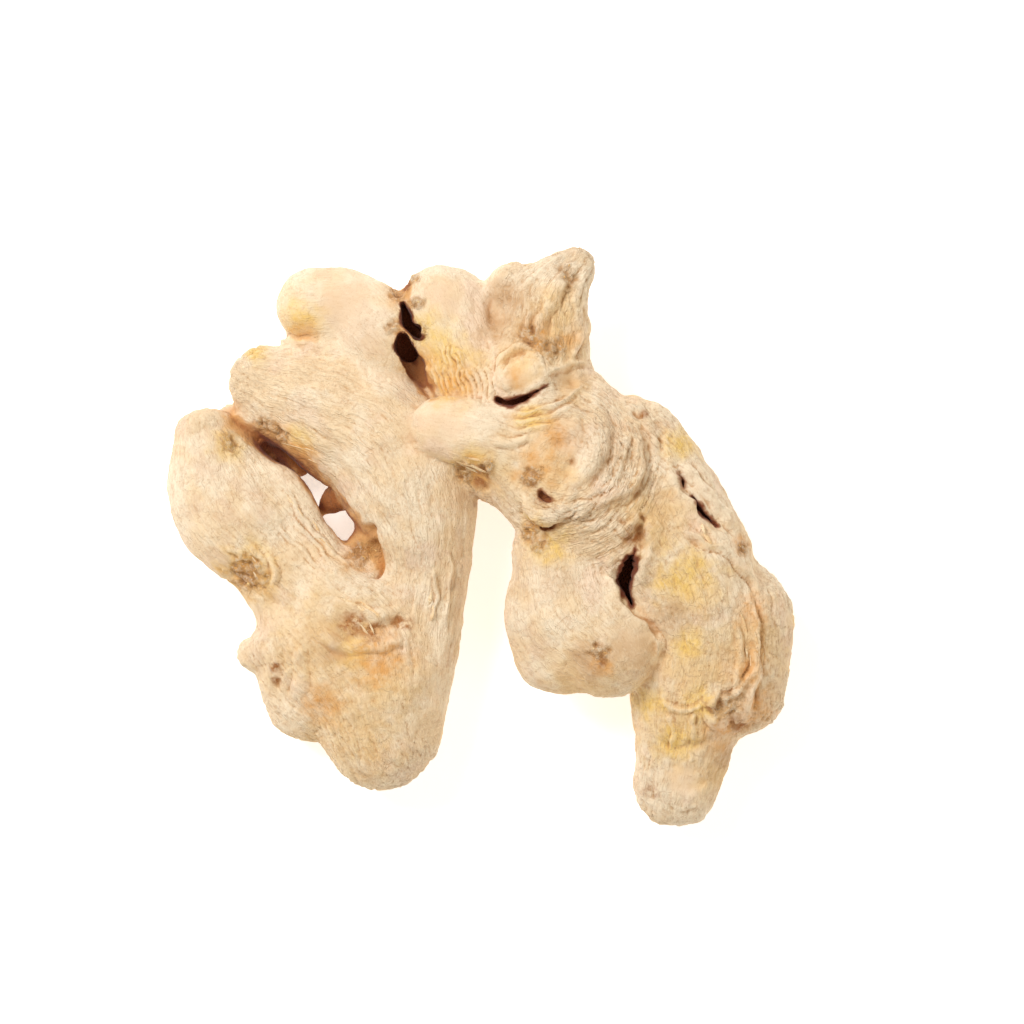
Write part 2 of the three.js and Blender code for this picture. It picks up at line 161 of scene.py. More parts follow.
def along_chain(points, sections, stretch):
    """Distance to a chain of round sections, and the segment and share of it that is nearest."""
    nearest = np.full(len(points), np.inf)
    segment = np.zeros(len(points), int)
    share = np.zeros(len(points))
    for k, (a, b) in enumerate(zip(sections, sections[1:])):
        side = (b - a)[:-1] * stretch
        offset = (points - a[:-1]) * stretch
        t = np.clip(offset @ side / (side @ side), 0, 1)
        gap = np.linalg.norm(offset - t[:, None] * side, axis=1) - (a[-1] + (b[-1] - a[-1]) * t)
        closer = gap < nearest
        nearest[closer] = gap[closer]
        segment[closer] = k
        share[closer] = t[closer]
    return nearest, segment, share


def within(points, sections, reach):
    """Which points lie in the box round a chain of round sections, or within reach of it."""
    axes = sections.shape[1] - 1
    low = (sections[:, :-1] - sections[:, -1:]).min(axis=0) - reach
    high = (sections[:, :-1] + sections[:, -1:]).max(axis=0) + reach
    place = points[:, :axes]
    return ((place >= low) & (place <= high)).all(axis=1)


NOISE_PERIOD = 32
NOISE_GAIN = 1.7
OCTAVE_SHIFT = 7.3


def noise(points, seed, octaves=1):
    """Smooth noise of about -1 to 1, with one bump a unit, and finer bumps for each octave."""
    size = NOISE_PERIOD
    slopes = np.random.default_rng(seed).normal(size=(size ** 3, 3))
    slopes /= np.linalg.norm(slopes, axis=1, keepdims=True)
    total = np.zeros(len(points))
    for octave in range(octaves):
        place = points * 2 ** octave + OCTAVE_SHIFT * octave
        base = np.floor(place)
        part = place - base
        base = base.astype(int)
        ease = part ** 3 * (part * (part * 6 - 15) + 10)
        for corner in itertools.product((0, 1), repeat=3):
            x, y, z = ((base + corner) % size).T
            pull = np.einsum("ij,ij->i", part - corner, slopes[(x * size + y) * size + z])
            a, b, c = np.where(corner, ease, 1 - ease).T
            total += a * b * c * pull * NOISE_GAIN / 2 ** octave
    return total


def across_crack(points, sections):
    """Distance to a crack's ragged side walls, seen from above: negative inside the crack."""
    across = along_chain(points[:, :2], sections, np.ones(2))[0]
    return across + CRACK_ROUGHNESS * noise(points / CRACK_LUMP, seed=2, octaves=2)


def root_distance(points):
    """Distance to the root's smooth form: negative inside the flesh, positive outside."""
    sides = {side: np.full(len(points), FAR_AWAY) for side in ("left", "right")}
    for side, blend, squash, _, _, spine in LOBES.values():
        sections = refine(spine)
        near = within(points, sections, 2 * NEAR_SKIN)
        stretch = np.array([1, 1, 1 / squash])
        lobe = along_chain(points[near], sections, stretch)[0]
        sides[side][near] = smooth_min(sides[side][near], lobe, blend)
    distance = smooth_min(sides["left"], sides["right"], SIDES_BLEND)
    for blend, floor, _, path in CRACKS.values():
        sections = refine(path)
        near = within(points, sections, NEAR_SKIN)
        crack = np.maximum(across_crack(points[near], sections), floor - points[near][:, 2])
        distance[near] = -smooth_min(-distance[near], crack, blend)
    return distance


# The grid that the form is worked out on: the width of a cell, how many cells a coarse block spans,
# how far it reaches past the spines, and the least distance from the surface that a corner of a cell
# is given.
CELL = 0.46
COARSE = 5
MARGIN = 3.0
LEAST_DEPTH = 0.02


def sample_form():
    """The form's distance on a fine grid, worked out exactly only close to the skin."""
    spines = np.vstack([refine(lobe[-1]) for lobe in LOBES.values()])
    low = (spines[:, :3] - spines[:, 3:]).min(axis=0) - MARGIN
    high = (spines[:, :3] + spines[:, 3:]).max(axis=0) + MARGIN
    block = COARSE * CELL
    counts = np.ceil((high - low) / block).astype(int)
    blocks = np.stack(np.meshgrid(*map(np.arange, counts), indexing="ij"), axis=-1).reshape(-1, 3)
    centre = (COARSE - 1) / 2 * CELL
    rough = root_distance(low + blocks * block + centre).reshape(counts)
    fine = rough.repeat(COARSE, axis=0).repeat(COARSE, axis=1).repeat(COARSE, axis=2)
    near = np.argwhere(np.abs(fine) < NEAR_SKIN)
    fine[tuple(near.T)] = root_distance(low + near * CELL)
    return low, fine


def moved(axes, steps):
    """What is left of a grid that is moved one cell along those axes whose step is 1."""
    left = [slice(None)] * 3
    for axis, step in zip(axes, steps):
        left[axis] = slice(1, None) if step else slice(None, -1)
    return tuple(left)


def part_at_corners(flesh):
    """Fills the odd corner where flesh meets flesh at a mere edge, so the skin stays one sheet."""
    changed = True
    while changed:
        changed = False
        for axes in ((0, 1), (1, 2), (2, 0)):
            here, along, aside, across = (
                flesh[moved(axes, steps)] for steps in ((0, 0), (1, 0), (0, 1), (1, 1)))
            falling = here & across & ~along & ~aside
            rising = ~here & ~across & along & aside
            if falling.any() or rising.any():
                flesh[moved(axes, (1, 0))] |= falling
                flesh[moved(axes, (0, 0))] |= rising
                changed = True
    return flesh


def net_skin(low, distance):
    """One point of skin in each cell that the surface crosses, and a quad across each crossed edge."""
    flesh = part_at_corners(distance < 0)
    level = np.where(flesh, np.minimum(distance, -LEAST_DEPTH), np.maximum(distance, LEAST_DEPTH))
    cells = tuple(n - 1 for n in flesh.shape)
    total = np.zeros(cells + (3,))
    count = np.zeros(cells)
    crossed = []
    for axis in range(3):
        a, b = level[moved([axis], [0])], level[moved([axis], [1])]
        cut = (a < 0) != (b < 0)
        share = np.where(cut, a / np.where(cut, a - b, 1), 0)
        crossed.append(cut)
        others = [i for i in range(3) if i != axis]
        for steps in itertools.product((0, 1), repeat=2):
            edge = moved(others, steps)
            count += cut[edge]
            total[..., axis] += share[edge] * cut[edge]
            for other, step in zip(others, steps):
                total[..., other] += step * cut[edge]
    used = count > 0
    number = np.full(cells, -1)
    number[used] = np.arange(used.sum())
    points = low + (np.argwhere(used) + total[used] / count[used][:, None]) * CELL
    quads = []
    for axis, cut in enumerate(crossed):
        at = np.argwhere(cut)
        u, v = np.eye(3, dtype=int)[[(axis + 1) % 3, (axis + 2) % 3]]
        at = at[(at[:, u.argmax()] > 0) & (at[:, v.argmax()] > 0)]
        ring = np.stack([number[tuple((at - step).T)] for step in (0 * u, u, u + v, v)], axis=1)
        outwards = flesh[tuple(at.T)]
        quads.append(np.where(outwards[:, None], ring, ring[:, ::-1]))
    return points, np.vstack(quads)


def keep_outer_skin(points, quads):
    """Drops the skins of sealed pockets and loose scraps."""
    shell = np.arange(len(points))
    while True:
        lowest = shell[quads].min(axis=1)
        joined = shell.copy()
        np.minimum.at(joined, quads.ravel(), lowest.repeat(4))
        joined = joined[joined]
        if (joined == shell).all():
            break
        shell = joined
    kept = shell == np.bincount(shell).argmax()
    renumber = np.cumsum(kept) - 1
    return points[kept], renumber[quads[kept[quads[:, 0]]]]


def gather(at, values, size):
    """The sum of the values that arrive at each point."""
    columns = values.reshape(len(values), -1).T
    return np.stack([np.bincount(at, column, minlength=size) for column in columns], axis=1)


def mean_of_neighbours(values, quads):
    ends = quads[:, [0, 1, 2, 3, 1, 2, 3, 0]].reshape(-1)
    starts = quads[:, [1, 2, 3, 0, 0, 1, 2, 3]].reshape(-1)
    count = np.bincount(ends, minlength=len(values))
    return (gather(ends, values[starts], len(values)) / count[:, None]).reshape(values.shape)


def even_out(values, quads, passes):
    """Smooths values over the skin, each pass half way to the mean of the neighbours."""
    for _ in range(passes):
        values = values + 0.5 * (mean_of_neighbours(values, quads) - values)
    return values


def skin_normals(points, quads):
    a, b, c, d = points[quads].transpose(1, 0, 2)
    facing = np.cross(c - a, d - b).repeat(4, axis=0)
    normals = gather(quads.ravel(), facing, len(points))
    return normals / np.linalg.norm(normals, axis=1, keepdims=True)


def ramp(values, low, high):
    """0 below low, 1 above high, and a smooth step from one to the other."""
    t = np.clip((values - low) / (high - low), 0, 1)
    return t * t * (3 - 2 * t)


# The grain: each lobe straightened out, so that a pattern can run along its fibres or round it. On
# the right-hand body the fibres run in a swirl instead.
FAMILIES = 4
GRAIN_BLEND = 1.4
GRAIN_REACH = 9.0
STRAIGHTEN_BLEND = 0.5
SWIRL_CENTRE = np.array([20.0, 17.5])
SWIRL_RADIUS = 14.0
SWIRL_SQUEEZE = 0.14
SWIRL_START = (4.0, 13.0)
SWIRL_SHADE = (-6.0, 8.0)


def straighten(points, sections, stretch):
    """Place along a lobe, and across it as if the lobe were straight and of one thickness."""
    steps = np.linalg.norm(np.diff(sections[:, :3], axis=0), axis=1)
    start = np.concatenate([[0], np.cumsum(steps)])
    last = len(steps) - 1
    thick = sections[:, 3].mean()
    total = np.zeros((len(points), 6))
    weights = np.zeros((len(points), 1))
    for k, (a, b) in enumerate(zip(sections, sections[1:])):
        ahead = (b - a)[:3] / steps[k]
        aside = np.cross([0, 0, 1], ahead)
        aside /= np.linalg.norm(aside)
        above = np.cross(ahead, aside)
        offset = points - a[:3]
        t = offset @ ahead / steps[k]
        held = np.clip(t, 0, 1)
        t = np.clip(t, -np.inf if k == 0 else 0, np.inf if k == last else 1)
        radius = a[3] + (b[3] - a[3]) * held
        gap = np.linalg.norm((offset - np.outer(held * steps[k], ahead)) * stretch, axis=1) - radius
        share = np.exp(-gap / STRAIGHTEN_BLEND)[:, None]
        spread = thick / radius
        place = [start[k] + t * steps[k], offset @ aside * spread, offset @ above * spread]
        total += share * np.column_stack(place + [np.full(len(points), part) for part in ahead])
        weights += share
    total /= weights
    return total[:, :3], total[:, 3:]


def swirl(points):
    """Place round the middle of the swirl and outwards from it, heading, and strength.

    The place round it takes two axes, so that the pattern closes. The fibres are faint in the
    middle of the swirl and on its upper left.
    """
    x, y = (points[:, :2] - SWIRL_CENTRE).T
    out = np.hypot(x, y)
    turn = np.stack([x, y], axis=1) / np.maximum(out, 0.01)[:, None] * SWIRL_RADIUS
    place = np.stack([turn[:, 0], out, turn[:, 1] * SWIRL_SQUEEZE], axis=1)
    ahead = np.stack([-y, x, 0 * x], axis=1) / np.maximum(out, 1)[:, None]
    strength = ramp(out, *SWIRL_START) * (0.45 + 0.55 * ramp(x - y / 2, *SWIRL_SHADE))
    return place, ahead, strength


def grain_of(points):
    """For each family, the straightened place and its share; and each point's finish and flow."""
    best = np.full((FAMILIES, len(points)), FAR_AWAY)
    place = np.zeros((FAMILIES, len(points), 3))
    finish = np.zeros((FAMILIES, len(points), 3))
    flow = np.zeros((FAMILIES, len(points), 3))
    for name, (_, _, squash, family, strengths, spine) in LOBES.items():
        if family is None:
            continue
        sections = refine(spine)
        near = np.flatnonzero(within(points, sections, GRAIN_REACH))
        stretch = np.array([1, 1, 1 / squash])
        gap = along_chain(points[near], sections, stretch)[0]
        closer = gap < best[family][near]
        chosen = near[closer]
        best[family][chosen] = gap[closer]
        finish[family][chosen] = strengths
        if name == "right_body":
            place[family][chosen], flow[family][chosen], strong = swirl(points[chosen])
            finish[family][chosen, 0] *= strong
        else:
            place[family][chosen], flow[family][chosen] = straighten(
                points[chosen], sections, stretch)
    shares = np.exp((best.min(axis=0) - best) / GRAIN_BLEND)
    shares /= shares.sum(axis=0)
    blended = (shares[..., None] * finish).sum(axis=0)
    heading = (shares[..., None] * flow).sum(axis=0)
    return place, shares, blended, heading


# Folds of shrunken skin seen on the upper side: height, width, lip, and a path of x and y. The skin
# falls off steeply on the path's left-hand side where lip is 1, and on its right where it is -1.
FOLDS = {
    "swirl_outer": (1.3, 1.9, 1, [
        (35.5, 26.7), (37.2, 21.7), (38, 15.4), (36.7, 11.6), (31.7, 8.3), (25.4, 5.5), (21, 3)]),
    "swirl_band": (0.8, 2.2, 0, [(27.4, 32), (29.4, 25.4), (28.4, 17.4), (24.6, 12.4), (21.6, 8.4)]),
    "swirl_groove": (-0.9, 0.9, 0, [
        (32.2, 26.4), (32.6, 20.9), (31.2, 16.6), (28.6, 13.2), (24.6, 9.4)]),
    "swirl_strand": (0.6, 0.8, 0, [(34.6, 27), (35, 20.6), (33.4, 14.6), (30.4, 11.2), (26, 8.2)]),
    "swirl_line": (-0.5, 0.6, 0, [(24.6, 30.6), (25.8, 24.6), (24.6, 18.4), (21.4, 14)]),
    "shoulder_pit": (-1.1, 0.7, 0, [(36.2, 27.9), (37.4, 27.1), (38.8, 27.3)]),
    "swirl_core": (-1.1, 2.2, 0, [(18, 22), (21.5, 20), (23, 16), (20, 13)]),
    "shoulder_fold": (0.7, 1.6, 0, [(31, 32.6), (36.3, 33), (40, 30.2), (44, 25.6)]),
    "shoulder_crease": (-1.0, 1.0, 0, [(37, 31.2), (41.8, 27), (43.2, 21), (43.4, 15.4)]),
    "brow": (0.9, 1.0, 1, [(27.5, 34.4), (22.4, 30.4), (17.2, 28), (11.7, 27), (7, 28)]),
    "under_brow": (0.5, 0.8, 0, [(25.5, 30.6), (19.6, 26.9), (13.5, 25.2), (8, 25.8)]),
    "low_brow": (0.35, 0.7, 0, [(21, 26), (15, 23.4), (9, 23.8), (5, 25.4)]),
    "brow_crease": (-0.7, 0.6, 0, [(24, 32.2), (18.6, 29.2), (12.6, 27.6), (8, 28.2)]),
    "cheek": (0.8, 1.2, 0, [(14.5, 21.6), (10, 20.4), (5.6, 20.8)]),
    "slit_lip_low": (1.5, 1.5, 1, [
        (44, 16.7), (45.4, 12.4), (47.6, 8.4), (50.2, 4.6), (54.2, 1), (59.3, -2.6)]),
    "slit_lip_high": (1.3, 1.4, 0, [(47, 17), (49.9, 12.4), (53.6, 8.2), (57, 4.2), (60, 0.4)]),
    "collar": (1.1, 1.0, -1, [
        (46, 3), (51, -0.6), (56.6, -3), (60.1, -6.2), (62.9, -9.4), (65.6, -13.5)]),
    "inner_lobe_seam": (1.3, 1.1, 1, [
        (32.6, -1.6), (31.8, -6.4), (32.2, -10.4), (33.8, -14.6), (37, -18), (41, -21.4), (42.4, -25),
        (42, -29.4)]),
    "crevice_rim": (1.3, 1.2, -1, [(36.8, 6), (39, 1.6), (39.9, -2.8), (39, -6.8), (37.4, -10.6)]),
    "crevice_top": (-1.4, 0.9, 0, [(38.6, 6), (38.6, 3), (38, 0.6), (37, -2)]),
    "crevice_brow": (0.9, 1.1, 0, [(31.4, 3.6), (34.6, 1.4), (36.4, 3.6), (37, 7)]),
    "peak_fold_long": (1.1, 1.6, 0, [(23.6, 61), (21.2, 55.6), (18, 50), (16.8, 45), (18.6, 40.6)]),
    "peak_fold_edge": (0.7, 1.2, 0, [(26.4, 60.4), (24.6, 54), (24.8, 47.6), (26.4, 42.2)]),
    "peak_valley": (-0.5, 1.3, 0, [(22.8, 56), (21.2, 50.4), (21.2, 45), (22.6, 40.4)]),
    "peak_rim": (0.5, 1.2, 0, [(5.4, 57.6), (4, 50.3), (5, 44.2), (7, 40.2)]),
    "peak_hollow": (-0.8, 2.6, 0, [(10.6, 54), (8.4, 48.4), (9.2, 43)]),
    "peak_strand": (0.6, 0.9, 0, [(14.6, 57), (13.4, 52), (13.8, 47), (12.4, 43)]),
    "peak_step": (0.8, 0.9, 1, [(26.6, 46), (24.4, 41.4), (23.6, 38.6)]),
    "bud_collar": (1.0, 1.1, 0, [(6.6, 34), (8.6, 39.2), (13.4, 41), (18.4, 39.4)]),
    "recess_rim": (0.9, 0.9, -1, [(17.8, 34.6), (20.6, 37), (24.4, 37.8), (27, 37)]),
    "recess": (-1.0, 1.9, 0, [(18.6, 32.4), (21.6, 34), (25, 35.2)]),
    "lobe_fibres_long": (0.8, 0.6, 0, [
        (-39.3, 12.2), (-36.6, 5.6), (-33, 1), (-28.5, -3.2), (-24.4, -6.8)]),
    "lobe_fibres_short": (0.7, 0.5, 0, [(-37.7, 4.3), (-33.2, -1), (-28.6, -5.4)]),
    "lobe_fibres_low": (0.6, 0.5, 0, [(-41, 3.4), (-36.4, -2.4), (-31.5, -7)]),
    "lower_crease": (-1.1, 1.2, 0, [
        (-29.6, -14.9), (-25.7, -18.9), (-21.1, -20.1), (-15.6, -19.3), (-12, -17.8)]),
    "above_crease": (0.5, 1.4, 0, [(-30.6, -11.6), (-24, -15.6), (-17.6, -16.6), (-12.6, -15)]),
    "below_crease": (0.8, 1.6, 0, [(-33.6, -19.4), (-26.6, -23.8), (-18.6, -23.6), (-11, -21.4)]),
    "light_fibre": (0.8, 0.5, 0, [(-7.2, -6.1), (-6.1, -12.4), (-6.5, -19.5)]),
    "edge_fibre": (0.6, 0.5, 0, [(-3.4, -2), (-3.2, -12), (-4.4, -22)]),
    "foot_crease": (-0.6, 1.0, 0, [(-40, -24.7), (-40.4, -29.8), (-41.6, -33.7)]),
    "left_crack": (-2.0, 0.7, 0, [(-22.4, 3.4), (-20.9, 0.6), (-19.4, -2.4), (-19, -6.4), (-20, -9)]),
    "curl_edge": (-0.9, 0.6, 0, [(12.2, 9.6), (12.3, 6), (14.6, 3), (18.4, 2.6), (22.4, 4), (25, 7)]),
    "scar_ray_high": (0.9, 0.9, 0, [(-43.4, -3.6), (-41.6, -7), (-41.6, -11.4)]),
    "scar_ray_mid": (0.8, 0.8, 0, [(-47.6, -1.4), (-44.6, -4.4), (-43.6, -8.8)]),
    "scar_ray_low": (0.7, 0.8, 0, [(-52.6, -2), (-49.4, -4), (-46.6, -5.2)]),
    "foot_fold": (0.8, 1.5, 0, [(-36, -22.6), (-35.6, -29.6), (-37, -36)]),
    "lobe_valley": (-0.9, 2.6, 0, [(-53, -4.6), (-46.6, -10.4), (-40.6, -14.4), (-34, -16)]),
    "lobe_end": (0.8, 1.8, 0, [(-62, 24), (-56, 26.6), (-49.6, 26)]),
    "scale_edge": (1.0, 0.9, 1, [
        (-50.6, 40.8), (-47.3, 42.1), (-43.8, 43), (-40.2, 43.5), (-35.7, 43), (-29.8, 42.6)]),
    "stub_edge": (1.4, 1.2, 1, [
        (61.5, -11.1), (63.4, -17), (63.9, -23), (63.7, -29.5), (62.4, -35), (60.4, -39.9)]),
    "stub_fold": (0.8, 0.9, 0, [(58.6, -17), (59.8, -24), (59.6, -31), (57.6, -37)]),
    "flake_ridge": (1.0, 0.8, 1, [(54.2, -34.6), (58.4, -34), (61, -31.2), (62.6, -27.4), (63.2, -22)]),
    "stub_step": (-1.0, 0.9, 0, [(57, -39.6), (60.6, -41.4), (65, -41.4)]),
    "finger_flake": (0.8, 0.8, 1, [(42.1, -34.8), (46.4, -37.4), (51.5, -36.2), (55.4, -33.5)]),
    "finger_lump": (0.9, 1.6, 0, [(53.4, -38.2), (56, -38.8), (56.6, -41.6)]),
    "finger_strand": (0.8, 0.7, 0, [(50.4, -37.4), (49.6, -41), (50.2, -45)]),
    "finger_strand_low": (0.6, 0.7, 0, [(44.2, -38.4), (45.4, -43), (44.4, -48)]),
    "finger_pit": (-0.8, 0.7, 0, [(40.9, -52.6), (40.6, -55.2), (40.8, -58.4)]),
    "tip_crease": (-0.5, 0.6, 0, [(44, -59.6), (48, -60.6), (52.4, -59.4)]),
    "finger_side": (1.1, 1.3, 0, [(54.6, -31.9), (53, -36.9), (55.1, -41.1), (58, -43.7)]),
    "finger_crease": (-0.8, 1.2, 0, [(40.4, -44), (46, -46.4), (52.4, -45), (57, -41.5)]),
}
FOLD_WANDER = 0.8
FOLD_UNEVENNESS = 0.4

# The share of a fold's length that each end takes to fade, and, in widths of the fold, how wide its
# steep side is, how far off its crease lies and how wide that is. The depth is in heights.
FOLD_END = 0.2
STEEP_WIDTH = 0.35
CREASE_PLACE = 1.15
CREASE_WIDTH = 0.3
CREASE_DEPTH = 0.4


def wander(points, size, seeds):
    """A smooth noise for each seed, as a push that bends what would be straight."""
    return np.stack([noise(points / size, seed) for seed in seeds], axis=1)


def thin_chain(path):
    return refine([(x, y, 0) for x, y in path], 4)


def to_path(places, sections):
    """Distance to a path seen from above, the side of it, and how far along it, 0 to 1."""
    gap, segment, share = along_chain(places, sections, np.ones(2))
    a, b = sections[segment], sections[segment + 1]
    ahead = (b - a)[:, :2]
    offset = places - a[:, :2]
    side = np.sign(ahead[:, 0] * offset[:, 1] - ahead[:, 1] * offset[:, 0])
    return gap, side, (segment + share) / (len(sections) - 1)


def fold_relief(points, upper):
    """The folds, each with a sharp crease beside its ridge, on one side or on both."""
    uneven = 1 + FOLD_UNEVENNESS * noise(points / 3, seed=33)
    places = points[:, :2] + FOLD_WANDER * wander(points, 4, (31, 32))
    relief = np.zeros(len(points))
    for height, width, lip, path in FOLDS.values():
        sections = thin_chain(path)
        near = np.flatnonzero(within(points, sections, 4 * width) & (upper > 0))
        gap, side, along = to_path(places[near], sections)
        ends = ramp(along, 0, FOLD_END) * ramp(1 - along, 0, FOLD_END)
        creased = (side == lip) | (lip == 0)
        spread = np.where((side == lip) & (lip != 0), STEEP_WIDTH * width, width)
        ridge = np.exp(-(gap / spread) ** 2)
        crease = np.exp(-((gap - CREASE_PLACE * width) / (CREASE_WIDTH * width)) ** 2) * creased
        profile = ridge - CREASE_DEPTH * crease if height > 0 else ridge
        relief[near] += height * uneven[near] * ends * profile
    return relief * upper


# Patches of the upper side, as x, y and radius. Patches of colour fade out slowly, and patches of
# texture end sooner: each shows in full to the first share of its radius, and is gone at the second.
PATCHES = {
    "crumbly": [
        (-47.7, -8, 5), (-14.5, 53.4, 2.2), (-12, 57, 2), (-23, -3, 3.6), (-20.6, -2.6, 2.6),
        (0, 14.6, 2.8), (5, 15.5, 2.2), (14.4, 1.8, 2.2), (29.4, -24.4, 2.6), (56, -36, 3),
        (-51.4, 21, 2.8), (60.6, -2.4, 1.8), (22, 57, 3), (19, 41.4, 3), (14, 44, 3), (16.6, -1, 2.6),
        (-9.6, 45, 2), (-10.4, 51, 2), (-16, 46, 2), (14.6, 13.4, 2.6), (-40.6, 22.4, 2.2),
        (-44, 24.6, 2.4)],
    "yellow": [
        (-35.4, 47.6, 4.6), (-47.7, -7, 6), (14.9, 2.4, 3), (47.6, -8.4, 7), (52.1, -36.4, 4),
        (46, -45, 5), (-9, 46, 5), (1.5, 15.6, 4.5), (18.9, -1.6, 5), (-36, 21.6, 3.6),
        (-51.6, 20.6, 4), (-5, 40, 7), (-46, 41, 3), (47, 20, 4), (-25, -24, 5), (48.6, -23, 3.6),
        (40, -36, 4), (15, 26, 4), (-3, 34, 4)],
    "orange": [
        (-35.2, 45, 3.2), (-48, -8.5, 5), (14.4, 1.9, 2.6), (-8.6, 37.5, 4), (11, 34.6, 2.4),
        (60.3, -2, 2.4), (-23, -3, 4.5), (-51.6, 26, 3), (62.6, -16, 4), (64, -38, 5), (22.6, 43, 2.6),
        (19.6, 22, 4.5), (56, -42, 4), (62, -28, 5), (-2, 34.8, 4.5), (-42, 22.6, 4), (-36, 18, 4),
        (30, -27.4, 3), (15.6, 15.6, 5), (-19, -26, 7), (-31, -36, 5), (-14.5, 53, 3), (-14.5, 45, 2.6),
        (16, 44, 4), (2, 14, 4)],
    "tan": [
        (49, -11, 8), (50, -27, 9), (46, -42, 9), (61, -24, 8), (40, 4, 8), (-28, -25, 13),
        (-17, -32, 8), (-30, -22, 8), (-25, -44, 11), (19, 46, 9), (12, 38, 5), (-1, 36.4, 7),
        (26, -31, 9), (17, 13, 7), (24, 32.6, 4), (-46, -9, 7), (6, 14, 6), (56, -52, 6)],
    "grey": [
        (10, 52.4, 6), (8, 45.6, 4.6), (14.4, 47, 4), (23.4, 33.8, 3.4), (36.4, 1, 3), (45, -17, 5),
        (27, -28, 6), (36, -26, 5), (56, -48, 5), (31, 17.6, 3), (20, -9, 4), (-29.6, -22.6, 6)],
    "brown": [
        (-24, -19, 3.4), (-20.4, -20.8, 3), (-13.4, -18.8, 2.6), (-41.4, -28.4, 1.2), (-41, -31.4, 1.3),
        (-23, -3, 3), (60.3, -2.2, 1.3), (38, 1, 1.8), (17, 9, 2), (14.6, 12, 1.8), (60, -40.6, 2.6),
        (36.8, 0.6, 2.4), (-48.6, -9.6, 2.6), (29.6, -26.8, 1.3), (40.8, -56, 1.8), (3.4, 13, 2.4),
        (39, 26.6, 1.2), (54, -36.4, 2)],
    "smooth": [
        (-5.5, 24.5, 7), (-4, 52.4, 6), (-27, 52, 8), (48, -53, 5), (36, -23, 6), (12.3, 35.6, 4.5),
        (23, 34.4, 3)],
    "ribbed": [
        (-6, 36, 3.6), (-2, 35, 4.6), (3, 33.6, 4.4), (-3, 39, 3)],
    "fibrous": [
        (-37.6, 8, 3), (-33.6, 3, 3), (-29.6, -2, 3), (-45, -6, 4), (-34, 18, 3), (62, -24, 4),
        (54, -35, 3), (-6, -14, 3), (-23, -17, 4), (2, 15, 3), (52, 3, 3)],
}
FADING = ("yellow", "orange", "tan", "grey")
COLOUR_EDGE = (0.1, 1.4)
TEXTURE_EDGE = (0.4, 1.15)


def patch(points, name, torn):
    """How strongly a patch shows at each point, with a torn edge."""
    edge = COLOUR_EDGE if name in FADING else TEXTURE_EDGE
    strength = np.zeros(len(points))
    for x, y, radius in PATCHES[name]:
        gap = np.hypot(points[:, 0] - x, points[:, 1] - y) / radius
        strength = np.maximum(strength, 1 - ramp(gap + torn, *edge))
    return strength


# The relief of the skin: how long and wide its wrinkles and furrows are, and how high each kind
# stands. MEAN_HEIGHT sinks the whole of it, so that the root keeps its thickness.
WRINKLE_LENGTH = 10.0
WRINKLE_WIDTH = 1.5
FURROW_LENGTH = 18.0
FURROW_WIDTH = 3.8
LUMP_SIZE = 14.0
SMALL_LUMP_SIZE = 6.0
CRINKLE_SIZE = 4.2
FINE_CRINKLE_SIZE = 2.0
SCAR_SIZE = 2.1
RIB_SPACING = 1.25
FIBRE_HEIGHT = 0.3
FURROW_HEIGHT = 0.5
RING_HEIGHT = 0.5
CRINKLE_HEIGHT = 0.7
LUMP_HEIGHT = 0.8
SCAR_HEIGHT = 1.0
RIB_HEIGHT = 0.85
MEAN_HEIGHT = 0.6


def grooves(points, seed):
    """Rounded ridges with sharp grooves between them, about 0 in a groove and 1 on a ridge."""
    return np.minimum(np.abs(noise(points, seed, octaves=2)) * 2.4, 1) ** 0.8


def skin_relief(points, grain, zones):
    """Lumps, wrinkles and furrows along the fibres, rings round them, crinkles, crumbs and ribs."""
    places, shares, finish, _ = grain
    fibres, rings, crinkles = finish.T
    smooth = 1 - 0.8 * zones["smooth"]
    lumps = noise(points / LUMP_SIZE, seed=3) + 0.45 * noise(points / SMALL_LUMP_SIZE, seed=4)
    relief = LUMP_HEIGHT * lumps - MEAN_HEIGHT
    along = np.array([WRINKLE_LENGTH, WRINKLE_WIDTH, WRINKLE_WIDTH])
    furrows_along = np.array([FURROW_LENGTH, FURROW_WIDTH, FURROW_WIDTH])
    around = np.array([WRINKLE_WIDTH, WRINKLE_LENGTH, WRINKLE_LENGTH])
    warp = 0.9 * wander(points, 5, (11, 12, 13))
    waxing = 0.35 + 0.65 * ramp(noise(points / 8, seed=8), -0.45, 0.45)
    for place, share in zip(places, shares):
        here = np.flatnonzero(share > 0.02)
        straight = place[here] + warp[here]
        part = share[here] * smooth[here]
        strength = (fibres + 1.3 * zones["ribbed"])[here]
        fine = grooves(straight / along, seed=5) * strength * waxing[here]
        broad = grooves(straight / furrows_along, seed=10) * fibres[here]
        relief[here] += part * (FIBRE_HEIGHT * fine + FURROW_HEIGHT * np.minimum(broad, 1.1))
        relief[here] += RING_HEIGHT * rings[here] * part * grooves(straight / around, seed=6)
    swirled = points + 1.8 * wander(points, 7, (21, 22, 23))
    crinkle = 0.6 * grooves(swirled / CRINKLE_SIZE, seed=7)
    crinkle += 0.4 * grooves(swirled / FINE_CRINKLE_SIZE, seed=17)
    relief += CRINKLE_HEIGHT * crinkles * smooth * waxing * crinkle
    scarred = noise(points / SCAR_SIZE, seed=9, octaves=2) - 0.3
    relief += SCAR_HEIGHT * zones["crumbly"] * scarred
    over = (points[:, 0] + 0.2 * points[:, 1]) / RIB_SPACING + 0.8 * noise(points / 3.4, seed=15)
    relief += RIB_HEIGHT * zones["ribbed"] * np.abs(np.sin(math.pi * over)) ** 0.7
    return relief


# How far in front of the skin other flesh is looked for, and how many triangles the skin keeps.
OPEN_GAP = 3.0
TRIANGLES = 194000


